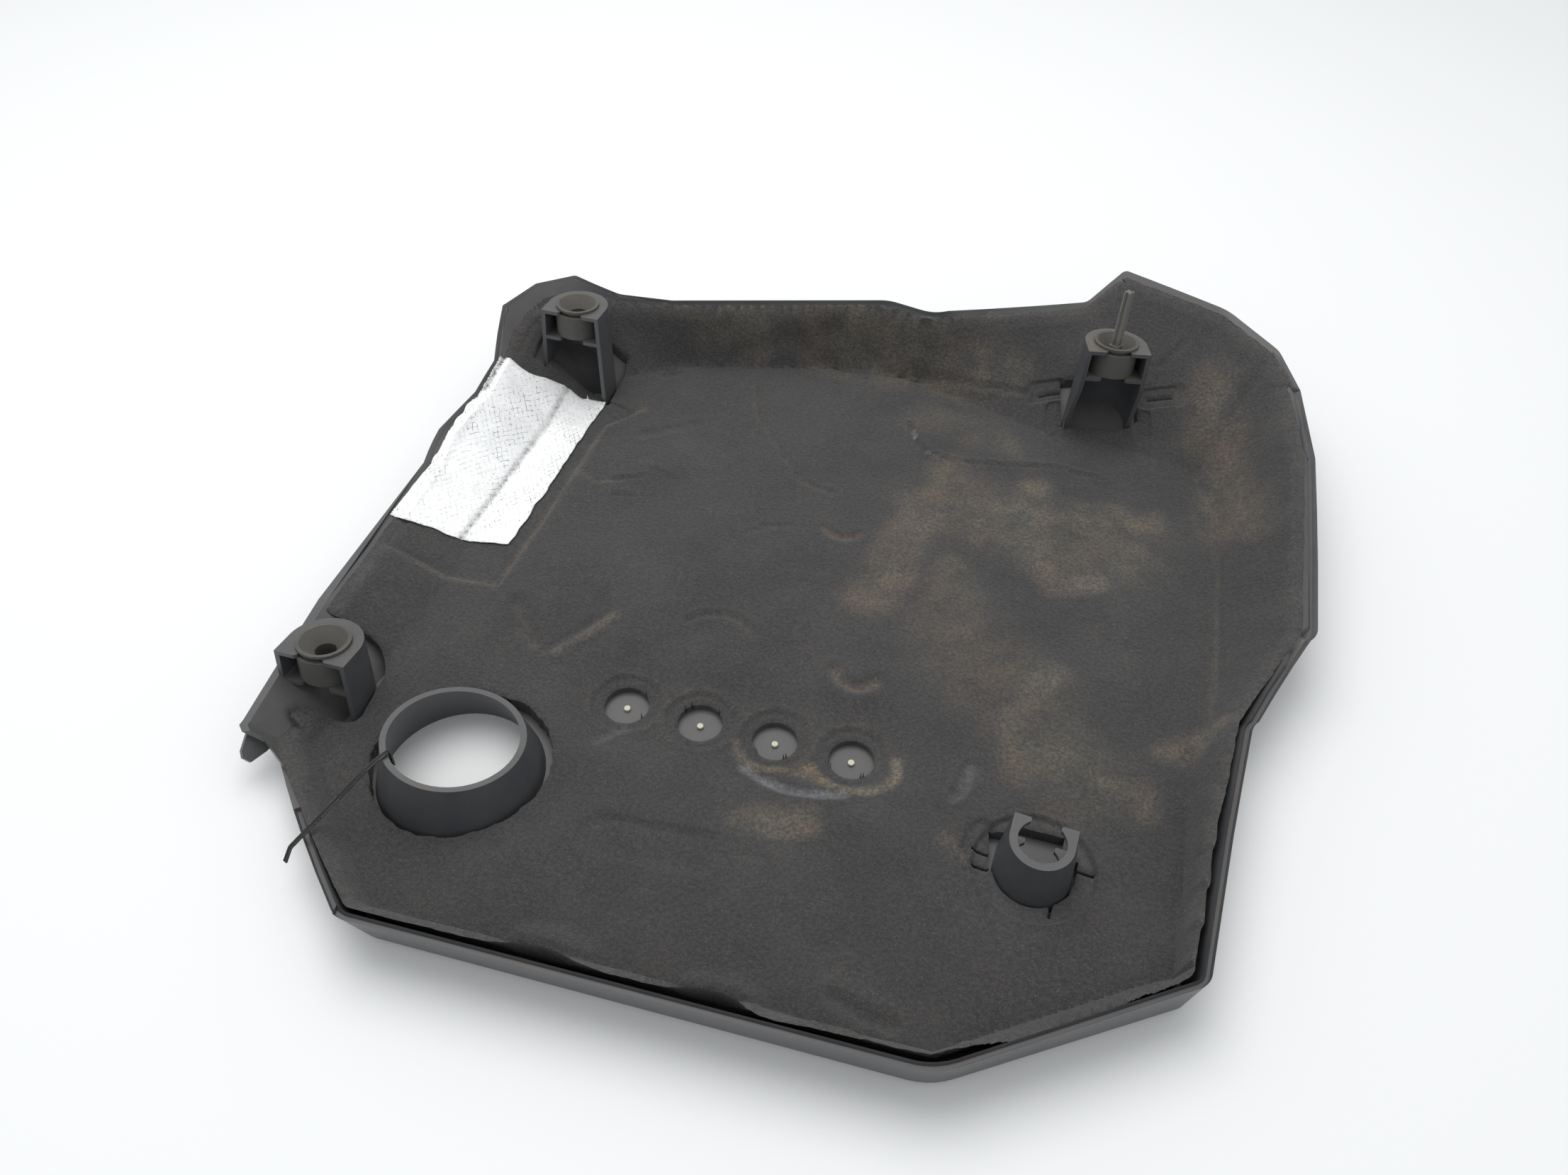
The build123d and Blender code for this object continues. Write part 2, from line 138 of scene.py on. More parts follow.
def merged_copy(node: str) -> BMesh:
    """Copy a solid's mesh with its loose triangles joined.

    Args:
        node: Name of the solid.

    Returns:
        The joined copy.
    """
    bm = bmesh.new()
    bm.from_mesh(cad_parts[node].data)
    bmesh.ops.remove_doubles(bm, verts=bm.verts, dist=MERGE)
    return bm


def tree_of(node: str) -> BVHTree:
    """Make a search tree of a solid.

    Args:
        node: Name of the solid.

    Returns:
        The tree.
    """
    bm = merged_copy(node)
    tree = BVHTree.FromBMesh(bm)
    bm.free()
    return tree


def edge_points(edge: BMEdge, step: float) -> list[Vector]:
    """Points along an edge, about a step apart.

    Args:
        edge: The edge.
        step: How far the points are apart, in metres.

    Returns:
        The points.
    """
    start, end = (vert.co for vert in edge.verts)
    count = max(1, round((end - start).length / step))
    return [start.lerp(end, n / count) for n in range(count + 1)]


def border_points(bm: BMesh) -> set[BMVert]:
    """Points on a sheet's open edges."""
    return {v for e in bm.edges if e.is_boundary for v in e.verts}


def neighbours(verts: set[BMVert]) -> set[BMVert]:
    """Points that share an edge with the given ones."""
    return {e.other_vert(v) for v in verts for e in v.link_edges}


def plan_gap(place: Vector, centre: Plan) -> float:
    """How far a place is in plan from a point given in millimetres."""
    return (place.xy - Vector(centre) * MM).length


def within(value: float) -> float:
    """A value held between 0 and 1."""
    return max(0.0, min(1.0, value))


def bell(value: float, middle: float, width: float) -> float:
    """Height of a bell curve that is 1 at its middle."""
    return math.exp(-(((value - middle) / width) ** 2))


def shade(bm: BMesh, sharp: float) -> None:
    """Shade a mesh smooth, apart from the edges past a sharp angle.

    Args:
        bm: The mesh.
        sharp: The angle in radians.
    """
    for face in bm.faces:
        face.smooth = True
    for edge in bm.edges:
        edge.smooth = not (edge.is_manifold and edge.calc_face_angle(0.0) > sharp)


def add_object(name: str, data: bpy.types.ID) -> Object:
    """Add an object to the scene.

    Args:
        name: Its name.
        data: Its mesh, lamp or camera.

    Returns:
        The object.
    """
    made = bpy.data.objects.new(name, data)
    bpy.context.scene.collection.objects.link(made)
    return made


def make_piece(name: str, bm: BMesh, material: Material,
               replaced: tuple[str, ...] = ()) -> Object:
    """Turn a bmesh into a piece of the object.

    Args:
        name: Name of the piece.
        bm: Its mesh, in the shared frame. It is freed.
        material: Its finish.
        replaced: Solids that the piece stands for.

    Returns:
        The piece, riding on the body.
    """
    mesh = bpy.data.meshes.new(name)
    bm.to_mesh(mesh)
    bm.free()
    mesh.materials.append(material)
    piece = add_object(name, mesh)
    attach(piece, BODY)
    if replaced:
        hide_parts(*replaced)
    LOG.info("%s: %d faces", name, len(mesh.polygons))
    return piece


class Graph:
    """A node tree with short calls that add and join nodes."""

    def __init__(self, tree: NodeTree) -> None:
        """Keep the tree."""
        self.tree = tree

    def add(self, kind: str, inputs: dict | None = None, **settings: object) -> Node:
        """Add a node.

        Args:
            kind: Node type without its ShaderNode start.
            inputs: Values or sockets for its inputs, by name or number.
            settings: Properties of the node.

        Returns:
            The node.
        """
        node = self.tree.nodes.new("ShaderNode" + kind)
        for name, value in settings.items():
            setattr(node, name, value)
        self.feed(node, inputs or {})
        return node

    def feed(self, node: Node, inputs: dict) -> None:
        """Set or join a node's inputs.

        Args:
            node: The node.
            inputs: Values or sockets, by name or number.
        """
        for key, value in inputs.items():
            if isinstance(value, Socket):
                self.tree.links.new(value, node.inputs[key])
            else:
                node.inputs[key].default_value = value

    def math(self, operation: str, *values: object) -> Socket:
        """Add a Math node and return its result."""
        node = self.add("Math", dict(enumerate(values)), operation=operation)
        return node.outputs[0]

    def ramp(self, value: object, low: float, high: float) -> Socket:
        """Add a smooth step from 0 at low to 1 at high and return its result."""
        node = self.add("MapRange", {0: value, 1: low, 2: high}, interpolation_type="SMOOTHSTEP")
        return node.outputs[0]

    def mix(self, share: object, first: object, second: object) -> Socket:
        """Add a colour mix and return its result."""
        return self.add("Mix", {0: share, 6: first, 7: second}, data_type="RGBA").outputs[2]

    def noise(self, place: object, scale: object, detail: float = 2.0, rough: float = 0.5) -> Socket:
        """Add a noise texture and return its value."""
        node = self.add("TexNoise", {"Vector": place, "Scale": scale, "Detail": detail, "Roughness": rough})
        return node.outputs[0]

    def trait(self, trait: Trait) -> Socket:
        """Add an attribute of the mesh and return its value."""
        return self.add("Attribute", attribute_name=trait.value).outputs["Fac"]

    def place(self) -> Socket:
        """Add the object's coordinates and return them."""
        return self.add("TexCoord").outputs["Object"]


class NodeGroups:
    """Effects that several finishes share, each a node group built once."""

    def __init__(self) -> None:
        """Build the groups."""
        self.grain = self._grain()
        self.dust = self._dust()
        self.wear = self._wear()

    @staticmethod
    def _start(name: str, inputs: dict[str, float], outputs: tuple[str, ...]) -> tuple[Graph, dict, Node]:
        """Start a group.

        Args:
            name: Name of the group.
            inputs: Its number inputs with their defaults.
            outputs: Its number outputs.

        Returns:
            The graph, the input sockets by name and the output node.
        """
        tree = bpy.data.node_groups.new(name, "ShaderNodeTree")
        for label, value in inputs.items():
            socket = tree.interface.new_socket(label, in_out="INPUT", socket_type="NodeSocketFloat")
            socket.default_value = value
        for label in outputs:
            tree.interface.new_socket(label, in_out="OUTPUT", socket_type="NodeSocketFloat")
        source = tree.nodes.new("NodeGroupInput")
        sink = tree.nodes.new("NodeGroupOutput")
        return Graph(tree), {label: source.outputs[label] for label in inputs}, sink

    def _grain(self) -> NodeTree:
        """Two sizes of noise, for pebbled and moulded surfaces.

        Returns:
            The group.
        """
        graph, given, sink = self._start("Surface grain", {"Scale": 800.0, "Fine share": 0.35},
                                         ("Height", "Fine"))
        place = graph.place()
        coarse = graph.noise(place, given["Scale"], 2.0)
        fine = graph.noise(place, graph.math("MULTIPLY", given["Scale"], 3.1), 3.0, 0.6)
        share = given["Fine share"]
        rest = graph.math("MULTIPLY", coarse, graph.math("SUBTRACT", 1.0, share))
        height = graph.math("MULTIPLY_ADD", fine, share, rest)
        graph.feed(sink, {"Height": height, "Fine": fine})
        return graph.tree

    def _dust(self) -> NodeTree:
        """A mask broken up into patches and specks.

        Returns:
            The group.
        """
        inputs = {"Mask": 0.0, "Patch scale": 60.0, "Speck scale": 700.0}
        graph, given, sink = self._start("Patchy dust", inputs, ("Mask",))
        place = graph.place()
        patches = graph.ramp(graph.noise(place, given["Patch scale"], 4.0, 0.6), 0.25, 0.8)
        specks = graph.ramp(graph.noise(place, given["Speck scale"], 2.0), 0.32, 0.68)
        broken = graph.math("MULTIPLY_ADD", patches, 0.9, 0.25)
        broken = graph.math("MULTIPLY", broken, graph.math("MULTIPLY_ADD", specks, 0.5, 0.5))
        mask = graph.add("Math", {0: given["Mask"], 1: broken}, operation="MULTIPLY", use_clamp=True)
        graph.feed(sink, {"Mask": mask.outputs[0]})
        return graph.tree

    def _wear(self) -> NodeTree:
        """Rubbed edges, stronger in some stretches than in others.

        Returns:
            The group.
        """
        graph, given, sink = self._start("Edge wear", {"Worn": 0.0, "Stretch scale": 45.0}, ("Mask",))
        place = graph.place()
        stretch = graph.ramp(graph.noise(place, given["Stretch scale"], 3.0), 0.38, 0.66)
        nicks = graph.ramp(graph.noise(place, 900.0, 2.0), 0.3, 0.6)
        rubbed = graph.math("MULTIPLY", graph.math("MULTIPLY_ADD", stretch, 0.75, 0.25), nicks)
        mask = graph.add("Math", {0: given["Worn"], 1: rubbed}, operation="MULTIPLY", use_clamp=True)
        graph.feed(sink, {"Mask": mask.outputs[0]})
        return graph.tree


def start_finish(name: str, inputs: dict[str, object]) -> tuple[Material, Graph, Node]:
    """Start a finish.

    Args:
        name: Name of the material.
        inputs: Values for its shader's inputs, by name.

    Returns:
        The material, its graph and its shader.
    """
    material = bpy.data.materials.new(name)
    material.use_nodes = True
    graph = Graph(material.node_tree)
    shader = material.node_tree.nodes["Principled BSDF"]
    graph.feed(shader, inputs)
    return material, graph, shader


@dataclass(frozen=True)
class MouldedFinish:
    """A moulded plastic or rubber: its colours, gloss, grain, dust and rubbed edges."""

    name: str
    colour: Colour
    second: Colour
    worn: Colour
    dust: Colour
    dust_amount: float
    rough: float
    rough_spread: float
    grain_scale: float
    grain_depth: float
    specular: float = 0.5

    def material(self, groups: NodeGroups) -> Material:
        """Build the finish.

        Args:
            groups: The shared effects.

        Returns:
            The material.
        """
        material, graph, shader = start_finish(self.name, {"Specular IOR Level": self.specular})
        place = graph.place()
        cloud = graph.noise(place, 38.0, 4.0, 0.6)
        grain = graph.add("Group", {"Scale": self.grain_scale}, node_tree=groups.grain)
        wear = graph.add("Group", {"Worn": graph.trait(Trait.WORN)}, node_tree=groups.wear)
        facing = graph.add("SeparateXYZ", {0: graph.add("NewGeometry").outputs["Normal"]}).outputs["Z"]
        lying = graph.math("MULTIPLY", graph.ramp(facing, 0.2, 0.9), self.dust_amount)
        lying = graph.math("MAXIMUM", lying, graph.trait(Trait.DUST))
        dust = graph.add("Group", {"Mask": lying, "Patch scale": 55.0}, node_tree=groups.dust)
        colour = graph.mix(graph.ramp(cloud, 0.3, 0.7), self.colour, self.second)
        colour = graph.mix(dust.outputs["Mask"], colour, self.dust)
        colour = graph.mix(wear.outputs["Mask"], colour, self.worn)
        rough = graph.math("MULTIPLY_ADD", cloud, self.rough_spread, self.rough - self.rough_spread / 2)
        rough = graph.math("MULTIPLY_ADD", dust.outputs["Mask"], 0.25, rough)
        bump = graph.add("Bump", {"Height": grain.outputs["Height"], "Strength": 0.6,
                                  "Distance": self.grain_depth})
        graph.feed(shader, {"Base Color": colour, "Roughness": rough, "Normal": bump.outputs[0]})
        return material


@dataclass(frozen=True)
class FeltFinish:
    """The liner's charcoal felt with brown dust, pale scars, pressed places and painted shade in its grain.
    """

    name: str = "charcoal_felt"
    deep: Colour = seen(50, 50, 52)
    light: Colour = seen(68, 67, 67)
    fibre: Colour = seen(118, 115, 107)
    dust: Colour = seen(148, 136, 114)
    rust: Colour = seen(138, 120, 98)
    pale: Colour = seen(142, 143, 146)
    grain_scale: float = 560.0
    grain_depth: float = 1.1 * MM
    specular: float = 0.25
    sheen: float = 0.12
    sheen_rough: float = 0.6

    def material(self, groups: NodeGroups) -> Material:
        """Build the finish.

        Args:
            groups: The shared effects.

        Returns:
            The material.
        """
        material, graph, shader = start_finish(self.name, {
            "Specular IOR Level": self.specular, "Sheen Weight": self.sheen,
            "Sheen Roughness": self.sheen_rough,
        })
        place = graph.place()
        broad = graph.noise(place, 22.0, 4.0, 0.6)
        grain = graph.add("Group", {"Scale": self.grain_scale}, node_tree=groups.grain)
        height = grain.outputs["Height"]
        dust = graph.add("Group", {"Mask": graph.trait(Trait.DUST)}, node_tree=groups.dust)
        scar = graph.add("Group", {"Mask": graph.trait(Trait.PALE), "Patch scale": 140.0},
                         node_tree=groups.dust)
        # Broad random tone, plus painted shade darkening the grain's valleys and painted light on its peaks.
        tone_and_valley_shade = graph.math("MULTIPLY_ADD", graph.ramp(broad, 0.3, 0.7), 0.45,
                          graph.math("MULTIPLY", graph.ramp(height, 0.36, 0.64), 0.55))
        colour = graph.mix(tone_and_valley_shade, self.deep, self.light)
        fibres = graph.math("MULTIPLY", graph.ramp(grain.outputs["Fine"], 0.56, 0.72), 0.5)
        colour = graph.mix(fibres, colour, self.fibre)
        soil = graph.mix(graph.ramp(graph.noise(place, 30.0, 3.0), 0.4, 0.62), self.dust, self.rust)
        lodged = graph.math("MULTIPLY", dust.outputs["Mask"],
                            graph.math("MULTIPLY_ADD", graph.ramp(height, 0.34, 0.66), 0.6, 0.5))
        colour = graph.mix(lodged, colour, soil)
        colour = graph.mix(scar.outputs["Mask"], colour, self.pale)
        flat = graph.math("SUBTRACT", 1.0, graph.math("MULTIPLY", graph.trait(Trait.PRESSED), 0.55))
        bump = graph.add("Bump", {"Height": graph.math("MULTIPLY", height, flat), "Strength": 1.0,
                                  "Distance": self.grain_depth})
        rough = graph.math("SUBTRACT", 0.96, graph.math("MULTIPLY", graph.trait(Trait.PALE), 0.4))
        graph.feed(shader, {"Base Color": colour, "Roughness": rough, "Normal": bump.outputs[0]})
        return material


@dataclass(frozen=True)
class FoilFinish:
    """Bright foil with painted shade as dark lines in its emboss, dulled here and there."""

    name: str = "bright_foil"
    bright: Colour = seen(253, 253, 252)
    dull: Colour = seen(240, 240, 238)
    soil: Colour = seen(84, 82, 76)
    # Colour of the painted shade in the emboss valleys.
    line: Colour = seen(66, 66, 64)
    valley_shade_pitch: float = 3.2 * MM
    valley_shade_lean: float = 0.62
    metal: float = 0.2

    def material(self, groups: NodeGroups) -> Material:
        """Build the finish.

        Args:
            groups: The shared effects.

        Returns:
            The material.
        """
        material, graph, shader = start_finish(self.name, {"Metallic": self.metal})
        place = graph.place()
        cloud = graph.noise(place, 70.0, 4.0, 0.6)
        soil = graph.add("Group", {"Mask": graph.trait(Trait.DUST), "Patch scale": 220.0},
                         node_tree=groups.dust)
        colour = graph.mix(graph.ramp(cloud, 0.35, 0.7), self.bright, self.dull)
        # Painted shade in the emboss valleys.
        colour = graph.mix(self._valley_shade(graph, place), colour, self.line)
        # Soil of the rubbed crease and edges, and a darker strip at the back of the left edge.
        colour = graph.mix(soil.outputs["Mask"], colour, self.soil)
        rough = graph.math("MULTIPLY_ADD", cloud, 0.2, 0.3)
        rough = graph.math("MULTIPLY_ADD", soil.outputs["Mask"], 0.3, rough)
        grain = graph.add("Group", {"Scale": 900.0}, node_tree=groups.grain)
        bump = graph.add("Bump", {"Height": grain.outputs["Height"], "Strength": 0.35, "Distance": 0.12 * MM})
        graph.feed(shader, {"Base Color": colour, "Roughness": rough, "Normal": bump.outputs[0]})
        return material

    def _valley_shade(self, graph: Graph, place: Socket) -> Socket:
        """Painted shade: thin crossed dark lines in the valleys of the diamond emboss, fainter in patches.

        Args:
            graph: The material's nodes.
            place: The object's coordinates.

        Returns:
            The mask of the painted shade.
        """
        parts = graph.add("SeparateXYZ", {0: place})
        sway = graph.math("MULTIPLY", graph.noise(place, 120.0, 2.0), 2.5 * MM)
        faint = graph.ramp(graph.noise(place, 60.0, 3.0), 0.4, 0.68)
        masks = []
        for lean in (self.valley_shade_lean, -self.valley_shade_lean):
            run = graph.math("MULTIPLY_ADD", parts.outputs["Y"], lean, parts.outputs["X"])
            run = graph.math("ADD", run, sway)
            turn = graph.math("MULTIPLY", run, math.pi / self.valley_shade_pitch)
            wave = graph.math("ABSOLUTE", graph.math("SINE", turn))
            masks.append(graph.math("SUBTRACT", 1.0, graph.ramp(wave, 0.03, 0.24)))
        crossed = graph.math("MAXIMUM", masks[0], masks[1])
        broken = graph.ramp(graph.noise(place, 520.0, 2.0), 0.42, 0.62)
        shown = graph.math("MULTIPLY", broken, graph.math("MULTIPLY_ADD", faint, 0.6, 0.4))
        return graph.math("MULTIPLY", crossed, shown)


SHELL_FINISH = MouldedFinish(
    name="shell_satin_plastic", colour=seen(73, 74, 77), second=seen(82, 82, 83), worn=seen(128, 125, 118),
    dust=seen(108, 98, 82), dust_amount=0.3, rough=0.4, rough_spread=0.18, grain_scale=1500.0,
    grain_depth=0.10 * MM,
)
RUBBER_FINISH = MouldedFinish(
    name="grommet_dull_rubber", colour=seen(78, 77, 74), second=seen(88, 86, 82), worn=seen(116, 112, 104),
    dust=seen(112, 106, 94), dust_amount=0.4, rough=0.72, rough_spread=0.16, grain_scale=1900.0,
    grain_depth=0.08 * MM, specular=0.35,
)
STUD_FINISH = MouldedFinish(
    name="stud_dull_plastic", colour=seen(104, 103, 99), second=seen(116, 113, 107), worn=seen(142, 138, 128),
    dust=seen(120, 110, 94), dust_amount=0.3, rough=0.6, rough_spread=0.16, grain_scale=1900.0,
    grain_depth=0.06 * MM,
)
PIN_FINISH = MouldedFinish(
    name="pin_cream_plastic", colour=seen(214, 212, 188), second=seen(198, 194, 168),
    worn=seen(226, 224, 206), dust=seen(150, 138, 112), dust_amount=0.35, rough=0.5, rough_spread=0.1,
    grain_scale=2500.0, grain_depth=0.04 * MM,
)
TIE_FINISH = MouldedFinish(
    name="tie_black_nylon", colour=seen(24, 24, 25), second=seen(32, 32, 32), worn=seen(150, 150, 150),
    dust=seen(96, 90, 80), dust_amount=0.15, rough=0.6, rough_spread=0.1, grain_scale=2500.0,
    grain_depth=0.03 * MM, specular=0.25,
)


@dataclass
class MouldedPiece:
    """A rigid solid with its edges softened and rubbed."""

    node: str
    finish: MouldedFinish
    slot: Slot
    edge: float = 0.35 * MM
    shrink: float = 0.0
    flat_angle: float = math.radians(0.5)
    sharp_angle: float = math.radians(30.0)

    def soften(self, bm: BMesh) -> None:
        """Bevel the outside edges and mark the bevels as worn.

        Args:
            bm: The joined copy of the solid.
        """
        worn = bm.faces.layers.float.new(Trait.WORN.value)
        bm.normal_update()
        for vert in bm.verts:
            vert.co -= vert.normal * self.shrink
        bmesh.ops.dissolve_limit(bm, angle_limit=self.flat_angle, verts=bm.verts, edges=bm.edges,
                                 delimit={"NORMAL"})
        edges = [e for e in bm.edges
                 if e.is_manifold and e.is_convex and e.calc_face_angle(0.0) > self.sharp_angle]
        made = bmesh.ops.bevel(bm, geom=edges, offset=self.edge, offset_type="OFFSET", segments=2,
                               profile=0.5, affect="EDGES", clamp_overlap=True, material=-1)
        for face in made["faces"]:
            face[worn] = 1.0
        shade(bm, self.sharp_angle)

    def build(self, groups: NodeGroups) -> Object:
        """Build the piece in place of its solid.

        Args:
            groups: The shared effects.

        Returns:
            The piece.
        """
        bm = merged_copy(self.node)
        self.soften(bm)
        piece = make_piece(self.node + "_piece", bm, self.finish.material(groups), (self.node,))
        weighted = piece.modifiers.new("even_normals", "WEIGHTED_NORMAL")
        weighted.keep_sharp = True
        return piece


@dataclass
class StudPin(MouldedPiece):
    """The ribbed pin, drawn thicker at its foot than at its tip."""

    foot: tuple[float, float, float] = (123.0, 175.0, 70.0)
    lean: float = math.radians(7.0)
    length: float = 32.0
    foot_share: float = 1.36
    tip_share: float = 0.9

    def soften(self, bm: BMesh) -> None:
        """Taper the pin, then soften its edges.

        Args:
            bm: The joined copy of the solid.
        """
        foot = Vector(self.foot) * MM
        axis = Vector((0.0, math.sin(self.lean), math.cos(self.lean)))
        for vert in bm.verts:
            rise = (vert.co - foot).dot(axis)
            spot = foot + axis * rise
            if rise > 0.0:
                share = min(1.0, rise / (self.length * MM))
                girth = self.foot_share + (self.tip_share - self.foot_share) * share
                vert.co = spot + (vert.co - spot) * girth
        super().soften(bm)


@dataclass
class CoverShell(MouldedPiece):
    """The shell, with a dusty channel sunk along its rim and one socket's legs cut back at the foot."""

    channel_in: float = 0.8 * MM
    channel_depth: float = 1.9 * MM
    channel_dust: float = 0.4
    rim_reach: float = 8.0 * MM
    upward: float = 0.5
    outward: float = -0.02
    plain: tuple[tuple[float, float, float], ...] = (
        (-193, 124, 27), (123, 175, 30), (-213, -141, 75), (-135.5, -168.5, 48),
        (127, -148, 30),
    )
    dusty_plates: tuple[tuple[float, float, float, float], ...] = (
        (123, 175, 40, 0.85), (-193, 124, 40, 0.3), (-213, -141, 20, 0.25),
    )
    plate_reach: float = 28.0 * MM
    plate_up: float = 0.8
    socket: Plan = (123.0, 175.0)
    socket_turn: float = math.radians(13.0)
    socket_half: float = 30.0
    cut_back: tuple[Plan, ...] = (
        (-50.0, 48.0), (-16.0, 48.0), (-9.0, 13.5), (-18.0, 8.0), (-27.0, 3.0), (-50.0, 3.0),
    )

    def soften(self, bm: BMesh) -> None:
        """Cut the legs back, sink the rim's channel, then soften the edges.

        Args:
            bm: The joined copy of the solid.
        """
        self._trim(bm)
        dust = bm.faces.layers.float.new(Trait.DUST.value)
        bm.normal_update()
        lip = self._lip(bm)
        rim = [f for f in bm.faces if f.normal.z > self.upward and self._in_rim(f)
               and all(lip.distance(v.co) < self.rim_reach for v in f.verts)]
        bmesh.ops.inset_region(bm, faces=rim, thickness=self.channel_in, depth=-self.channel_depth,
                               use_boundary=True, use_even_offset=False)
        for face in rim:
            face[dust] = self.channel_dust
        for face in bm.faces:
            middle = face.calc_center_median()
            for x, y, least, amount in self.dusty_plates:
                lies_high = face.normal.z > self.plate_up and middle.z > least * MM
                if lies_high and plan_gap(middle, (x, y)) < self.plate_reach:
                    face[dust] = amount
        super().soften(bm)

    def _trim(self, bm: BMesh) -> None:
        """Take the wedge in front of the back-right socket's legs off the shell.

        Args:
            bm: The joined copy of the solid.
        """
        shift = Matrix.Translation((*(Vector(self.socket) * MM), 0.0))
        turn = shift @ Matrix.Rotation(self.socket_turn, 4, "Z")
        wedge = bmesh.new()
        corners = [Vector((-self.socket_half, y, z)) * MM for y, z in self.cut_back]
        side = wedge.faces.new([wedge.verts.new(corner) for corner in corners])
        made = bmesh.ops.extrude_face_region(wedge, geom=[side], use_keep_orig=True)
        moved = [item for item in made["geom"] if isinstance(item, BMVert)]
        bmesh.ops.translate(wedge, vec=(2.0 * self.socket_half * MM, 0.0, 0.0), verts=moved)
        bmesh.ops.transform(wedge, matrix=turn, verts=wedge.verts)
        bmesh.ops.recalc_face_normals(wedge, faces=wedge.faces)
        spare = []
        for name, source in (("shell_blank", bm), ("shell_wedge", wedge)):
            mesh = bpy.data.meshes.new(name)
            source.to_mesh(mesh)
            spare.append(add_object(name, mesh))
        wedge.free()
        trim = spare[0].modifiers.new("trim", "BOOLEAN")
        trim.operation = "DIFFERENCE"
        trim.solver = "EXACT"
        trim.object = spare[1]
        left = bpy.data.meshes.new_from_object(spare[0].evaluated_get(bpy.context.evaluated_depsgraph_get()))
        bm.clear()
        bm.from_mesh(left)
        for mesh in (left, *(item.data for item in spare)):
            bpy.data.meshes.remove(mesh)

    def _lip(self, bm: BMesh) -> "Outline":
        """Sample the edges between the rim and the outer wall.

        Args:
            bm: The shell.

        Returns:
            The sampled edges.
        """
        points = []
        for edge in bm.edges:
            if len(edge.link_faces) == 2:
                low, high = sorted(face.normal.z for face in edge.link_faces)
                if low < self.outward and high > self.upward:
                    points += edge_points(edge, MM)
        return Outline(points)

    def _in_rim(self, face: BMFace) -> bool:
        """Whether a face keeps clear of the sockets, the collar and the left wall's tip."""
        middle = face.calc_center_median()
        return all(plan_gap(middle, (x, y)) > reach * MM for x, y, reach in self.plain)


@dataclass(frozen=True)
class Mark:
    """A mark in the liner's face along a line in plan.

    The face is pressed in by depth over a flat of half-width flat, with a soft border of width. Lengths are
    in millimetres, a depth below 0 stands up, and lip is the share of the depth that swells up beside it.
    """

    line: tuple[Plan, ...]
    width: float
    depth: float = 0.0
    flat: float = 0.0
    lip: float = 0.0
    dust: float = 0.0
    pale: float = 0.0
    pressed: float = 0.0

    def distance(self, points: np.ndarray) -> np.ndarray:
        """Plan distance of points from the mark's line.

        Args:
            points: Plan points in millimetres.

        Returns:
            The distances in millimetres.
        """
        line = np.array(self.line if len(self.line) > 1 else self.line * 2, float)
        best = np.full(len(points), 1e9)
        for start, end in zip(line[:-1], line[1:]):
            run = end - start
            share = np.clip(((points - start) @ run) / max(run @ run, 1e-9), 0.0, 1.0)
            best = np.minimum(best, np.linalg.norm(points - start - share[:, None] * run, axis=1))
        return best

    def cover(self, distance: np.ndarray) -> np.ndarray:
        """Share of the mark at each distance, 1 on its flat and 0 past its border."""
        share = np.clip(1.0 - (distance - self.flat) / self.width, 0.0, 1.0)
        return share * share * (3.0 - 2.0 * share)

    def swell(self, distance: np.ndarray) -> np.ndarray:
        """Share of the lip at each distance."""
        return np.exp(-(((distance - self.flat - self.width * 1.25) / (self.width * 0.6)) ** 2))


WINDOW_PITCH = 37.5
WINDOWS: tuple[Plan, ...] = tuple((-75.25 + WINDOW_PITCH * n, -111.5) for n in range(4))

PRESSED_MARKS: tuple[Mark, ...] = (
    Mark((WINDOWS[0], WINDOWS[3]), 26, 3, flat=14),
    *(Mark((centre,), 1.8, 1.3, flat=16, lip=0.25, pressed=1) for centre in WINDOWS),
    *(Mark(arc(*centre, 18.6, 0, 360, 40), 1.3, -0.35, dust=0.3) for centre in WINDOWS),
    Mark(((127, -148),), 1.8, 1.7, flat=25.5, lip=0.25, pale=0.1, pressed=1),
    Mark(((103, -137), (101, -152)), 1.8, 1.4, flat=6, pressed=0.8),
    Mark(((82, 178), (97, 182)), 1.6, 1.2, flat=5, pressed=0.8),
    Mark(((150, 185), (167, 189.5)), 1.6, 1.2, flat=5, pressed=0.8),
    Mark(((98.5, 158), (96.5, 170)), 1.6, 1, flat=4, pressed=0.8),
    Mark(((151.5, 163), (149.5, 174)), 1.6, 1, flat=3.5, pressed=0.8),
    Mark(((-60, -186), (-14, -183)), 3, 0.9, flat=8, pressed=0.3),
    Mark(((-63, -176), (-11, -173)), 1.8, 1.5, flat=0.3),
    Mark(arc(10, -188, 12, 10, 120), 2.2, 1.2),
    Mark(((-139, 82), (-111, 101)), 3, 0.9, flat=2, lip=0.2, pressed=0.5),
)

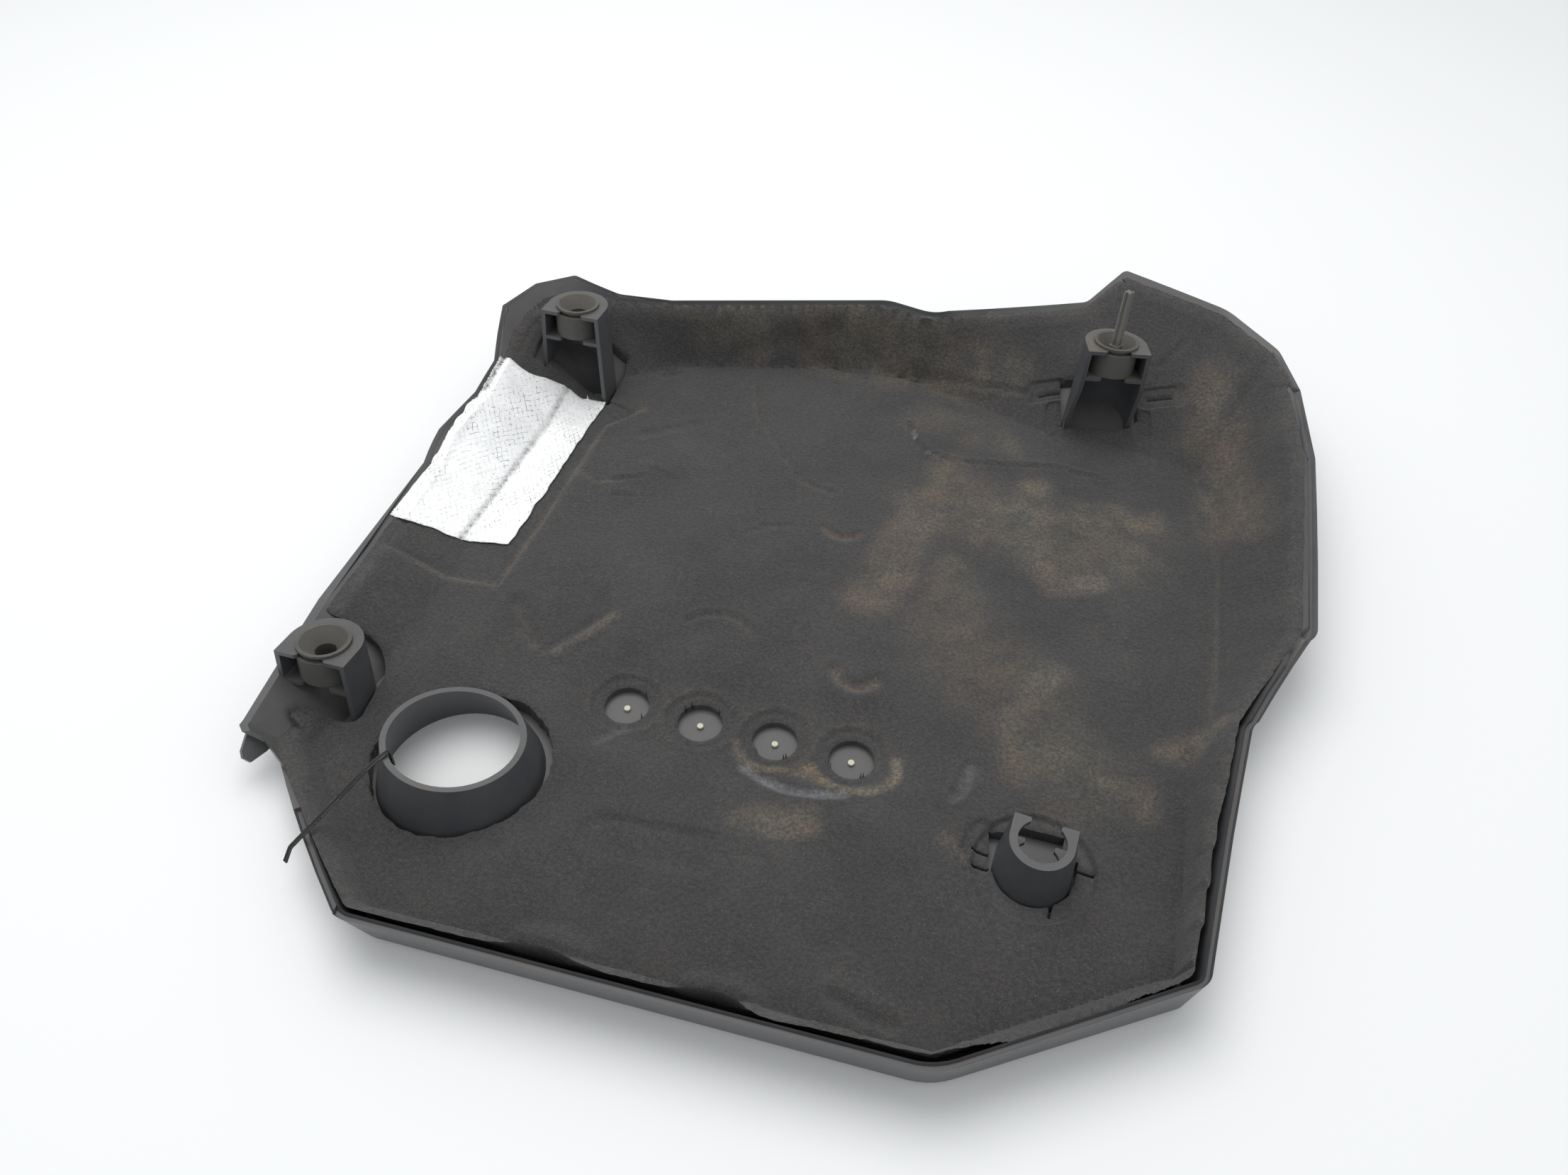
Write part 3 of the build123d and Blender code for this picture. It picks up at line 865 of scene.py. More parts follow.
DENT_MARKS: tuple[Mark, ...] = (
    Mark(arc(28, -62, 11, 195, 345), 5, 1.8, lip=0.25, dust=0.75),
    Mark(arc(-46, -66, 21, 35, 145), 3.2, 1.4, lip=0.3, dust=0.25),
    Mark(((-152, -68), (-143, -82), (-132, -92)), 6, 1.3, lip=0.3, dust=0.25),
    Mark(((-120, -94), (-110, -80), (-100, -62)), 6, -1.3, dust=0.5),
    Mark(((-126, -96), (-117, -82), (-108, -66)), 4, 1.1, dust=0.2),
    Mark(((-122, 174), (-114, 183), (-106, 186)), 3, 1.9, lip=0.35),
    Mark(arc(-113, 175, 6, 20, 160), 2, 1.4, lip=0.3),
    Mark(((-148, 141), (-140, 147)), 4, 1.5, lip=0.3, dust=0.15),
    Mark(((-71, 186), (-58, 190), (-44, 196)), 3.4, -1.5),
    Mark(((-70, 181), (-57, 185), (-43, 191)), 2.4, 1.2),
    Mark(((-91, 150), (-80, 121), (-57, 93), (-36, 68), (-16, 64)), 3, 1, lip=0.4, dust=0.25),
    Mark(((-54, 17), (-44, 26), (-33, 30)), 2.6, 0.9, lip=0.3, dust=0.2),
    Mark(arc(-4, 41, 12, 215, 330), 3.6, 1.3, lip=0.3, dust=0.55),
    Mark(((-141, 38), (-125, 46)), 2.6, 1.1, lip=0.3),
    Mark(((-131, 56), (-120, 56), (-111, 52)), 2.6, -0.9, dust=0.15),
    Mark(((-134, 26), (-124, 28)), 2.4, 1, lip=0.3),
    Mark(((-80, -138), (-71, -126)), 4, 1, pale=0.25),
    Mark(((116, -82), (121, -84)), 1.8, 1, pale=0.3),
    Mark(((-70, -240), (-57, -237), (-45, -241)), 8, -2.4),
    Mark(((3, -240), (17, -237), (29, -241)), 8, -2.4),
    Mark(((58, -229), (70, -233), (83, -234)), 5, 1.6, lip=0.4),
)

CREASE_MARKS: tuple[Mark, ...] = (
    Mark(((14, 140), (19, 126), (28, 117), (46, 113), (74, 118), (103, 125),
          (133, 122)), 2.2, 2.2, lip=0.5, pale=0.12),
    Mark(((17, 134), (19, 129)), 1.5, 0.4, pale=0.9),
    Mark(((29, 117), (36, 115)), 1.8, 0.4, pale=0.9),
    Mark(((46, 113), (64, 116)), 1.2, 0.3, pale=0.35),
    Mark(((-110, 166), (-72, 181), (-35, 182), (-9, 186), (20, 184), (51, 180),
          (78, 178)), 2.4, 1.5, lip=0.5, dust=0.2),
    Mark(((-147, 105), (-164, 83), (-165, 13), (-168, -58), (-199, -62), (-230, -61)),
         3.4, 0.5, dust=0.5),
    Mark(((-164, 40), (-150, 33), (-136, 38)), 2.4, 0.8, dust=0.45),
    Mark(((196, 120), (199, 57), (199, -20), (196, -62)), 2.6, 0.9, dust=0.3),
    Mark(((-9, -132), (2, -137), (14, -139), (28, -137), (39, -133)), 2.4, 1.6,
         flat=1.2, lip=0.3, pale=0.75),
    Mark(((89, -120), (91, -113), (92, -104)), 4, 1.7, flat=0.3, lip=0.4, pale=0.45),
    Mark(((87, -124), (88.5, -119)), 3, 1.2, lip=0.3, pale=0.3),
    Mark(((185, 140), (200, 180), (215, 215)), 3, 0.8, lip=0.4),
    Mark(((154, 205), (166, 222), (172, 238)), 3, 0.8, lip=0.4),
)

DUST_MARKS: tuple[Mark, ...] = tuple(Mark(line, width, flat=flat, dust=dust) for line, width, flat, dust in (
    (((49, 99), (35, 46), (25, -8)), 24, 4, 0.55),
    (((72, 57), (95, 101)), 15, 3, 0.6),
    (((105, 83), (164, 95)), 15, 3, 0.55),
    (((90, 55), (116, 30), (132, 38)), 14, 2, 0.55),
    (((60, 20), (75, -20)), 22, 4, 0.4),
    (((50, 80), (110, 60), (150, 70)), 42, 8, 0.38),
    (((70, -20), (110, -60), (140, -95)), 40, 6, 0.34),
    (((117, -36), (104, -69), (115, -100)), 14, 2, 0.55),
    (((178, -68), (199, -57)), 11, 2, 0.55),
    (((155, -94), (173, -102)), 13, 2, 0.5),
    (arc(*WINDOWS[2], 19, 195, 300), 3.2, 0.4, 0.9),
    (arc(*WINDOWS[3], 20, 215, 365), 4.6, 0.8, 1),
    (((2, -131), (24, -127)), 5, 0, 0.6),
    (((-4, -159), (27, -152)), 10, 3, 0.55),
    (((86, -144), (93, -153)), 9, 0, 0.35),
    (((-157, 178), (-101, 182)), 20, 5, 0.45),
    (((-54, 198), (-37, 203)), 11, 2, 0.75),
    (((184, 196), (199, 144), (206, 90)), 22, 4, 0.45),
    (((-60, 190), (60, 186)), 24, 4, 0.35),
    (((20, 150), (70, 140)), 20, 4, 0.3),
))


class Outline:
    """Points along an edge, looked up by plan place or by place."""

    def __init__(self, points: list[Vector]) -> None:
        """Sort the points."""
        self.points = points
        self.plan = KDTree(len(points))
        self.solid = KDTree(len(points))
        for number, point in enumerate(points):
            self.plan.insert((point.x, point.y, 0.0), number)
            self.solid.insert(point, number)
        self.plan.balance()
        self.solid.balance()

    def nearest(self, place: Vector) -> tuple[Vector, float]:
        """The point nearest in plan, and how far off it is in plan."""
        _, number, gap = self.plan.find((place.x, place.y, 0.0))
        return self.points[number], gap

    def distance(self, place: Vector) -> float:
        """How far off the nearest point is."""
        return self.solid.find(place)[2]


@dataclass(frozen=True)
class CarriedEdge:
    """A cut edge that lies further in than the solid's, with the bank that the liner follows there."""

    area: tuple[Plan, ...] = (
        (105.9, 141.2), (101.4, 160.9), (103.4, 161.4), (118, 162.5), (136, 164.3), (143, 167.5),
        (146.6, 172.5), (148.4, 173), (152.8, 151.8),
    )
    edge: tuple[Plan, ...] = ((102.4, 161.2), (118, 162.5), (136, 164.3), (143, 167.5), (147, 172.8))
    floor: float = 11.0
    foot: tuple[Plan, Plan] = ((100.0, 155.1), (150.0, 153.7))
    slope: float = 0.565
    thickness: float = 7.5

    def holds(self, place: Vector) -> bool:
        """Whether a place lies on the carried part.

        Args:
            place: The place, in the shared frame.

        Returns:
            True on the carried part.
        """
        x, y = place.x / MM, place.y / MM
        sides = zip(self.area, self.area[1:] + self.area[:1])
        crossed = [(x1 - x0) * (y - y0) / (y1 - y0) + x0 > x
                   for (x0, y0), (x1, y1) in sides if (y0 > y) != (y1 > y)]
        return sum(crossed) % 2 == 1

    def height(self, place: Vector) -> float:
        """Height of the liner's face at a place.

        Args:
            place: The place, in the shared frame.

        Returns:
            The height in metres.
        """
        (x0, y0), (x1, y1) = self.foot
        start = y0 + (y1 - y0) * (place.x / MM - x0) / (x1 - x0)
        return (self.floor + self.slope * max(0.0, place.y / MM - start)) * MM

    def samples(self, step: float) -> list[Vector]:
        """Points along the edge.

        Args:
            step: How far the points are apart, in metres.

        Returns:
            The points.
        """
        points = []
        for start, end in zip(self.edge, self.edge[1:]):
            run = Vector(end) * MM - Vector(start) * MM
            count = round(run.length / step)
            spots = [Vector(start) * MM + run * (n / count) for n in range(count + 1)]
            points += [Vector((*spot, self.height(spot))) for spot in spots]
        return points


@dataclass
class FoamLiner:
    """The pressed liner: a felted sheet on the solid's face, with its cut edges and marks."""

    node: str = "foam_liner"
    finish: FeltFinish = field(default_factory=FeltFinish)
    pitch: float = 1.9 * MM
    margin: float = 2.0 * MM
    facing_up: float = 0.04
    side_lean: float = -0.05
    outline_step: float = 0.3 * MM
    reach: float = 3.2
    least_wall: float = 0.7 * MM
    lowest: float = 2.45 * MM
    probe_share: float = 0.4
    carried: CarriedEdge = field(default_factory=CarriedEdge)
    drawn_in: tuple[tuple[float, float, float, float], ...] = (
        (-57, -243, 15, 4.2), (17, -243, 15, 3.8), (35, -246, 10, -2.8), (49, -247, 9, -0.8),
        (104, -244, 12, 1), (128, -227, 18, -3.4), (158, -213, 22, -3.2),
        (186, -201, 12, -2),
        (-140, -232, 26, -1.6), (212, -120, 20, 1.2), (205, -165, 12, -1),
        (-228, 108, 12, -5), (-212, 140, 22, -6), (-180, 160, 20, -4.5),
        (-217, -192, 14, -3.5), (-207, -212, 14, -3), (-198, -230, 14, -3),
    )
    weld: float = 0.4 * MM
    pad_rise: float = 1.4 * MM
    pad_climb: float = 7.0 * MM
    sharp_angle: float = math.radians(50.0)
    row_rounds: int = 3
    pushed_least: float = 0.8 * MM
    pushed_rounds: int = 4
    fray: float = 0.35 * MM
    fray_scales: tuple[float, float] = (160.0, 420.0)
    fine_fray: float = 0.6
    collar: Plan = (-135.5, -168.5)
    collar_reach: float = 52.0 * MM
    collar_fray: float = 2.6
    window_reach: float = 18.0 * MM
    window_fray: float = 0.2
    roll: float = 2.2
    roll_drop: float = 0.9
    border: float = 6.5
    border_width: float = 1.6
    border_depth: float = 0.7
    flange_depth: float = 0.6
    flange_dust: float = 0.14
    flange_pale: float = 0.06
    stray: float = 7.0
    stray_scale: float = 45.0
    pressed_still: float = 0.8
    least_dust: float = 0.07
    sways: tuple[tuple[float, tuple[float, float, float], float], ...] = (
        (28.0, (0.0, 0.0, 0.0), 0.55), (75.0, (3.0, 1.0, 0.0), 0.28), (210.0, (0.0, 7.0, 2.0), 0.12),
    )
    fine_cuts: int = 1
    fine_zones: tuple[tuple[float, float, float], ...] = (
        *((x, y, 16) for x, y in WINDOWS),
        (127, -148, 34),
        (103, -147, 12), (148, -143.5, 9), (136.6, -165, 9),
        (124, 172, 46),
        (93, 179, 12), (157, 187, 12),
        (-135.5, -168.5, 48),
        (-206, -140, 40),
        (-193, 119, 38),
    )

    def build(self, groups: NodeGroups) -> Object:
        """Build the liner in place of its solid.

        Args:
            groups: The shared effects.

        Returns:
            The piece.
        """
        wall = tree_of("cover_shell")
        tree = tree_of(self.node)
        solid = merged_copy(self.node)
        outer, cuts = self._outlines(solid)
        solid.free()
        bm = self._sheet(tree)
        LOG.info("liner laid: %d faces", len(bm.faces))
        self._snap(bm, tree, wall, outer, cuts)
        LOG.info("liner trimmed")
        self._close(bm, tree)
        LOG.info("liner closed")
        self._mark(bm, outer, cuts)
        LOG.info("liner marked")
        shade(bm, self.sharp_angle)
        piece = make_piece("felted_liner", bm, self.finish.material(groups), (self.node,))
        return piece

    def _outlines(self, solid: BMesh) -> tuple[Outline, Outline]:
        """Sample the edges where the solid's top face ends.

        Args:
            solid: The joined solid.

        Returns:
            The outer edge, and the edges of the cut-outs.
        """
        solid.normal_update()
        found: dict[bool, list[Vector]] = {True: [], False: []}
        for edge in solid.edges:
            if len(edge.link_faces) != 2:
                continue
            low, high = sorted(face.normal.z for face in edge.link_faces)
            if high <= self.facing_up or low > self.facing_up:
                continue
            found[low < self.side_lean] += edge_points(edge, self.outline_step)
        cuts = [point for point in found[False] if not self.carried.holds(point)]
        return Outline(found[True]), Outline(cuts + self.carried.samples(self.outline_step))

    def _sheet(self, tree: BVHTree) -> BMesh:
        """Lay a grid, finer round the cut-outs, on the solid's top face.

        Args:
            tree: The solid, to drop the grid on.

        Returns:
            The sheet.
        """
        low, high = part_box(self.node)
        low, high = low - Vector((self.margin,) * 3), high + Vector((self.margin,) * 3)
        size, centre = high - low, (low + high) / 2
        bm = bmesh.new()
        bmesh.ops.create_grid(bm, x_segments=round(size.x / self.pitch),
                              y_segments=round(size.y / self.pitch), size=0.5)
        bmesh.ops.scale(bm, vec=(size.x, size.y, 1.0), verts=bm.verts)
        bmesh.ops.translate(bm, vec=(centre.x, centre.y, 0.0), verts=bm.verts)
        for x, y, radius in self.fine_zones:
            middle = Vector((x * MM, y * MM))
            inside = {v for v in bm.verts if (v.co.xy - middle).length < radius * MM}
            edges = [e for e in bm.edges if e.verts[0] in inside and e.verts[1] in inside]
            bmesh.ops.subdivide_edges(bm, edges=edges, cuts=self.fine_cuts, use_grid_fill=True)
        lost = []
        for vert in bm.verts:
            place, normal, _, _ = tree.ray_cast(Vector((vert.co.x, vert.co.y, high.z)), DOWN)
            if place is not None and normal.z >= self.facing_up:
                vert.co.z = place.z
            elif self.carried.holds(vert.co):
                vert.co.z = self.carried.height(vert.co)
            else:
                lost.append(vert)
        bmesh.ops.delete(bm, geom=lost, context="VERTS")
        bmesh.ops.delete(bm, geom=[v for v in bm.verts if not v.link_faces], context="VERTS")
        return bm

    def _snap(self, bm: BMesh, tree: BVHTree, wall: BVHTree, outer: Outline, cuts: Outline) -> None:
        """Bring the sheet's border onto the solid's outlines and even out the rows beside it.

        Args:
            bm: The sheet.
            tree: The solid.
            wall: The shell, which an edge that is pushed out climbs.
            outer: The outer edge.
            cuts: The edges of the cut-outs.
        """
        border = border_points(bm)
        for vert in border:
            ends = (edge.nearest(vert.co) for edge in (outer, cuts))
            place, gap = min(ends, key=lambda found: found[1])
            if gap < self.reach * MM:
                vert.co = place + self._fray(place) + self._draw(place)
                self._climb(vert, wall)
        bmesh.ops.remove_doubles(bm, verts=list(border), dist=self.weld)
        border = border_points(bm)
        rows = neighbours(border) - border
        rows |= neighbours(rows) - border
        for _ in range(self.row_rounds):
            bmesh.ops.smooth_vert(bm, verts=list(rows), factor=0.5, use_axis_x=True, use_axis_y=True)
        for vert in rows:
            place, normal, _, _ = tree.ray_cast(Vector((vert.co.x, vert.co.y, 1.0)), DOWN)
            if place is not None and normal.z > self.facing_up:
                vert.co.z = place.z
            else:
                self._climb(vert, wall)
        pushed = [v for v in border | rows
                  if self._draw(v.co).dot(v.co) > self.pushed_least * v.co.xy.length]
        for _ in range(self.pushed_rounds):
            bmesh.ops.smooth_vert(bm, verts=pushed, factor=0.5, use_axis_z=True)

    def _climb(self, vert: BMVert, wall: BVHTree) -> None:
        """Lift a point of the sheet onto the shell's wall where the wall stands a little above it.

        Args:
            vert: The point.
            wall: The shell.
        """
        under, _, _, _ = wall.ray_cast(Vector((vert.co.x, vert.co.y, 1.0)), DOWN)
        if under is not None and 0.0 < under.z + self.pad_rise - vert.co.z < self.pad_climb:
            vert.co.z = under.z + self.pad_rise

    def _close(self, bm: BMesh, tree: BVHTree) -> None:
        """Give the sheet its underside and cut walls.

        Args:
            bm: The sheet.
            tree: The solid.
        """
        facing = bm.verts.layers.float_vector.new("facing")
        top = bm.verts.layers.float.new("top")
        bm.normal_update()
        for vert in bm.verts:
            vert[facing] = vert.normal if vert.normal.z > 0 else UP
        sheet = list(bm.faces)
        under = list(bm.verts)
        border = border_points(bm)
        uneven = set(border)
        for _ in range(2):
            uneven |= neighbours(uneven)
        while uneven:
            found = {}
            for vert in uneven:
                others = [e.other_vert(vert) for e in vert.link_edges]
                beside = [other[facing] for other in others if other not in uneven]
                if beside:
                    found[vert] = sum(beside, Vector((0.0, 0.0, 0.0))).normalized()
            for vert, direction in found.items():
                vert[facing] = direction
            uneven = uneven - set(found) if found else set()
        probes = {}
        for vert in under:
            probes[vert] = vert.co.xy
            inner = [e.other_vert(vert).co.xy for e in vert.link_edges if e.other_vert(vert) not in border]
            if vert in border and inner:
                middle = sum(inner, Vector((0.0, 0.0))) / len(inner)
                probes[vert] = vert.co.xy.lerp(middle, self.probe_share)
        made = bmesh.ops.extrude_face_region(bm, geom=sheet, use_keep_orig=True)
        for item in made["geom"]:
            if isinstance(item, BMVert):
                item[top] = 1.0
        for vert in under:
            place, normal, _, _ = tree.ray_cast(Vector((*probes[vert], -1.0)), UP)
            floor = vert.co.z - self.least_wall
            if place is not None and normal.z < self.side_lean:
                floor = min(floor, place.z)
            elif self.carried.holds(vert.co):
                floor = vert.co.z - self.carried.thickness * MM
            vert.co.z = max(floor, self.lowest)
        bmesh.ops.recalc_face_normals(bm, faces=bm.faces)

    def _mark(self, bm: BMesh, outer: Outline, cuts: Outline) -> None:
        """Press the marks into the face and store what they carry.

        Args:
            bm: The closed liner.
            outer: The outer edge.
            cuts: The edges of the cut-outs.
        """
        traits = (Trait.DUST, Trait.PALE, Trait.PRESSED)
        layers = {trait: bm.verts.layers.float.new(trait.value) for trait in traits}
        top = bm.verts.layers.float["top"]
        facing = bm.verts.layers.float_vector["facing"]
        verts = [v for v in bm.verts if v[top] > 0.5]
        points = np.array([v.co.xy for v in verts]) / MM
        depth = np.zeros(len(verts))
        masks = {trait: np.zeros(len(verts)) for trait in traits}
        strays = np.array([noise.noise_vector(v.co * self.stray_scale).xy for v in verts]) * self.stray
        for mark in (*PRESSED_MARKS, *DENT_MARKS, *CREASE_MARKS, *DUST_MARKS):
            distance = mark.distance(points + strays if mark in DUST_MARKS else points)
            cover = mark.cover(distance)
            depth += mark.depth * (cover - mark.lip * mark.swell(distance))
            for trait in traits:
                masks[trait] = np.maximum(masks[trait], getattr(mark, trait.value) * cover)
        rim = np.array([outer.distance(v.co) for v in verts]) / MM
        edge = np.minimum(rim, np.array([cuts.distance(v.co) for v in verts]) / MM)
        band = np.clip(1.0 - np.abs(rim - self.border) / self.border_width, 0.0, 1.0)
        depth += self.border_depth * band
        flange = np.clip((self.border + self.border_width - rim) / self.border_width, 0.0, 1.0)
        depth += self.flange_depth * flange
        masks[Trait.DUST] = np.maximum(masks[Trait.DUST], self.flange_dust * flange)
        masks[Trait.PALE] = np.maximum(masks[Trait.PALE], self.flange_pale * flange)
        depth += self.roll_drop * np.clip(1.0 - edge / self.roll, 0.0, 1.0) ** 2
        still = 1.0 - masks[Trait.PRESSED] * self.pressed_still
        depth += still * np.array([self._sway(v.co) for v in verts])
        masks[Trait.DUST] = np.maximum(masks[Trait.DUST], self.least_dust)
        for number, vert in enumerate(verts):
            for trait, values in masks.items():
                vert[layers[trait]] = values[number]
            vert.co -= vert[facing] * depth[number] * MM

    def _draw(self, place: Vector) -> Vector:
        """How far the liner's loose edge is drawn in, or pushed out against the rim, at a place.

        Args:
            place: The place, in the shared frame.

        Returns:
            The shift in plan, in metres.
        """
        far = sum(inward * bell((place.xy / MM - Vector((x, y))).length, 0.0, reach)
                  for x, y, reach, inward in self.drawn_in)
        return Vector((*(-place.xy.normalized() * far * MM), 0.0))

    def _fray(self, place: Vector) -> Vector:
        """How far the liner's torn edge strays from the clean outline at a place.

        Args:
            place: The place, in the shared frame.

        Returns:
            The shift in plan, in metres.
        """
        rough = self.fray * (self.collar_fray if plan_gap(place, self.collar) < self.collar_reach else 1.0)
        if any(plan_gap(place, centre) < self.window_reach for centre in WINDOWS):
            rough *= self.window_fray
        broad, fine = (noise.noise_vector(place * scale) for scale in self.fray_scales)
        stray = broad + self.fine_fray * fine
        return Vector((stray.x, stray.y, 0.0)) * rough

    def _sway(self, place: Vector) -> float:
        """Depth in millimetres of the felt's own unevenness at a place."""
        return sum(noise.noise(place * scale + Vector(shift)) * depth for scale, shift, depth in self.sways)


@dataclass
class FoilShield:
    """The foil on the liner's left: an embossed, creased sheet, darker along a strip at the rim.

    The pairs from sag_at to edge_rub are a place and a width, or an amount and a width.
    """

    node: str = "foil_shield"
    finish: FoilFinish = field(default_factory=FoilFinish)
    corners: tuple[Plan, Plan, Plan, Plan] = (
        (-172.2, 104.5), (-175.2, -29.0), (-237.0, -42.5), (-233.5, 91.0),
    )
    bulge: float = 3.6
    sag: float = 5.0
    sag_at: tuple[float, float] = (0.3, 0.16)
    strip_across: tuple[float, float] = (0.055, 0.03)
    strip_along: tuple[float, float] = (0.78, 0.04)
    crease_press: tuple[float, float] = (0.7, 1.5)
    crease_rub: tuple[float, float] = (0.9, 2.2)
    edge_rub: tuple[float, float] = (0.35, 0.02)
    most_darkening: float = 1.4
    wavy_share: float = 0.08
    wave_scale: float = 0.11
    past_solid: float = -225.0 * MM
    climb_from: float = -227.0
    climb_over: float = 3.0
    search_height: float = 20.0 * MM
    emboss_lean: float = 0.62
    rim: tuple[Plan, Plan] = ((-236.4, 45.0), (-232.0, 58.0))
    rim_lift: float = 0.5
    crease: tuple[Plan, Plan] = ((-196.0, 104.0), (-201.0, -34.0))
    pitch: float = 0.75
    emboss_pitch: float = 3.0
    emboss_depth: float = 0.3
    crumple: float = 0.35
    wave: float = 1.3
    thickness: float = 0.3 * MM
    lift: float = 0.25 * MM

    def build(self, groups: NodeGroups) -> Object:
        """Build the foil in place of its solid.

        Args:
            groups: The shared effects.

        Returns:
            The piece.
        """
        trees = [tree_of(node) for node in (self.node, "foam_liner", "cover_shell")]
        across = np.linalg.norm(np.subtract(self.corners[0], self.corners[3]))
        along = np.linalg.norm(np.subtract(self.corners[0], self.corners[1]))
        bm = bmesh.new()
        bmesh.ops.create_grid(bm, x_segments=round(across / self.pitch), y_segments=round(along / self.pitch),
                              size=0.5)
        dust = bm.verts.layers.float.new(Trait.DUST.value)
        fold = Mark(self.crease, width=5.0)
        for vert in bm.verts:
            u, v = vert.co.x + 0.5, vert.co.y + 0.5
            place = self._plan(u, v)
            spot = self._ground(place, trees)
            near = float(fold.distance(np.array([[place.x / MM, place.y / MM]]))[0])
            vert[dust] = self._darkening(u, v, near)
            height = self._relief(place, u, v) - self.crease_press[0] * bell(near, 0.0, self.crease_press[1])
            vert.co = Vector((place.x, place.y, spot.z + self.lift + height * MM))
        shade(bm, math.pi)
        piece = make_piece("embossed_foil", bm, self.finish.material(groups), (self.node,))
        wall = piece.modifiers.new("sheet", "SOLIDIFY")
        wall.thickness = self.thickness
        wall.offset = -1.0
        return piece

    def _darkening(self, u: float, v: float, near: float) -> float:
        """Darkening of a strip at the back-left edge, and soil of the rubbed crease and rubbed edges.

        Args:
            u: Share of the way across from the left.
            v: Share of the way to the back.
            near: Distance from the crease in millimetres.

        Returns:
            The amount of darkening.
        """
        # A darker strip at the back of the left edge.
        back_strip = bell(u, *self.strip_across) * within((v - self.strip_along[0]) / self.strip_along[1])
        crease = self.crease_rub[0] * max(0.0, 1.0 - near / self.crease_rub[1])
        edges = self.edge_rub[0] * max(0.0, 1.0 - min(1 - u, v, 1 - v) / self.edge_rub[1])
        return min(self.most_darkening, crease + edges + self.most_darkening * back_strip)

    def _plan(self, u: float, v: float) -> Vector:
        """Plan place on the sheet, with its wavy edges.

        Args:
            u: Share of the way across from the left.
            v: Share of the way to the back.

        Returns:
            The place, in metres.
        """
        back_right, front_right, front_left, back_left = (Vector(corner) for corner in self.corners)
        place = front_left.lerp(front_right, u).lerp(back_left.lerp(back_right, u), v)
        close = max(0.0, 1.0 - min(u, 1.0 - u, v, 1.0 - v) / self.wavy_share)
        sway = noise.noise_vector(Vector((place.x, place.y, 0.0)) * self.wave_scale)
        place += Vector((sway.x, sway.y)) * self.wave * close
        place.y += (self.bulge * math.sin(math.pi * u) - self.sag * bell(u, *self.sag_at)) * v ** 4
        (x0, y0), (x1, y1) = self.rim
        place.x = max(place.x, x0 + (x1 - x0) * within((place.y - y0) / (y1 - y0)))
        return place * MM

    def _ground(self, place: Vector, trees: list[BVHTree]) -> Vector:
        """What the sheet lies on at a place: its solid, or the liner's edge and the rim past the solid.

        Args:
            place: The plan place.
            trees: The foil's, the liner's and the shell's solids.

        Returns:
            The spot that carries the sheet.
        """
        above = Vector((place.x, place.y, 1.0))
        spot, _, _, _ = trees[0].ray_cast(above, DOWN)
        if spot is None and place.x < self.past_solid:
            hits = (tree.ray_cast(above, DOWN)[0] for tree in trees[1:])
            spot = next((hit for hit in hits if hit), None)
        if spot is None:
            near, _, _, _ = trees[0].find_nearest(Vector((place.x, place.y, self.search_height)))
            inward = (near - place.to_3d()).xy.normalized().to_3d() * MM
            spot, _, _, _ = trees[0].ray_cast(Vector((near.x, near.y, 1.0)) + inward, DOWN)
            spot = spot or near
        climb = within((self.climb_from - place.x / MM) / self.climb_over)
        return spot + UP * self.rim_lift * climb * MM

    def _relief(self, place: Vector, u: float, v: float) -> float:
        """Height of the emboss and crumple at a place.

        Args:
            place: The plan place.
            u: Share of the way across from the left.
            v: Share of the way to the back.

        Returns:
            The height in millimetres.
        """
        x, y = place.x / MM, place.y / MM
        jitter = noise.noise(Vector((x, y, 0.0)) * 0.12) * 1.4
        lean = self.emboss_lean * y + jitter
        first = abs(math.sin(math.pi * (x + lean) / self.emboss_pitch))
        second = abs(math.sin(math.pi * (x - lean) / self.emboss_pitch))
        patch = 0.55 + 0.6 * noise.noise(Vector((x, y, 4.0)) * 0.06)
        emboss = self.emboss_depth * patch * min(first, second)
        crumple = self.crumple * (0.6 * noise.noise(Vector((x, y, 9.0)) * 0.05)
                                  + 0.4 * noise.noise(Vector((x, y * 1.8, 5.0)) * 0.16))
        return emboss + crumple * (0.6 + 0.8 * v * (1.0 - u))


@dataclass(frozen=True)
class FloorFinish:
    """The plain pale floor."""

    name: str = "pale_floor"
    colour: Colour = (0.9, 0.9, 0.89, 1.0)
    rough: float = 0.55
    specular: float = 0.3

    def material(self) -> Material:
        """Build the finish."""
        inputs = {"Base Color": self.colour, "Roughness": self.rough, "Specular IOR Level": self.specular}
        return start_finish(self.name, inputs)[0]


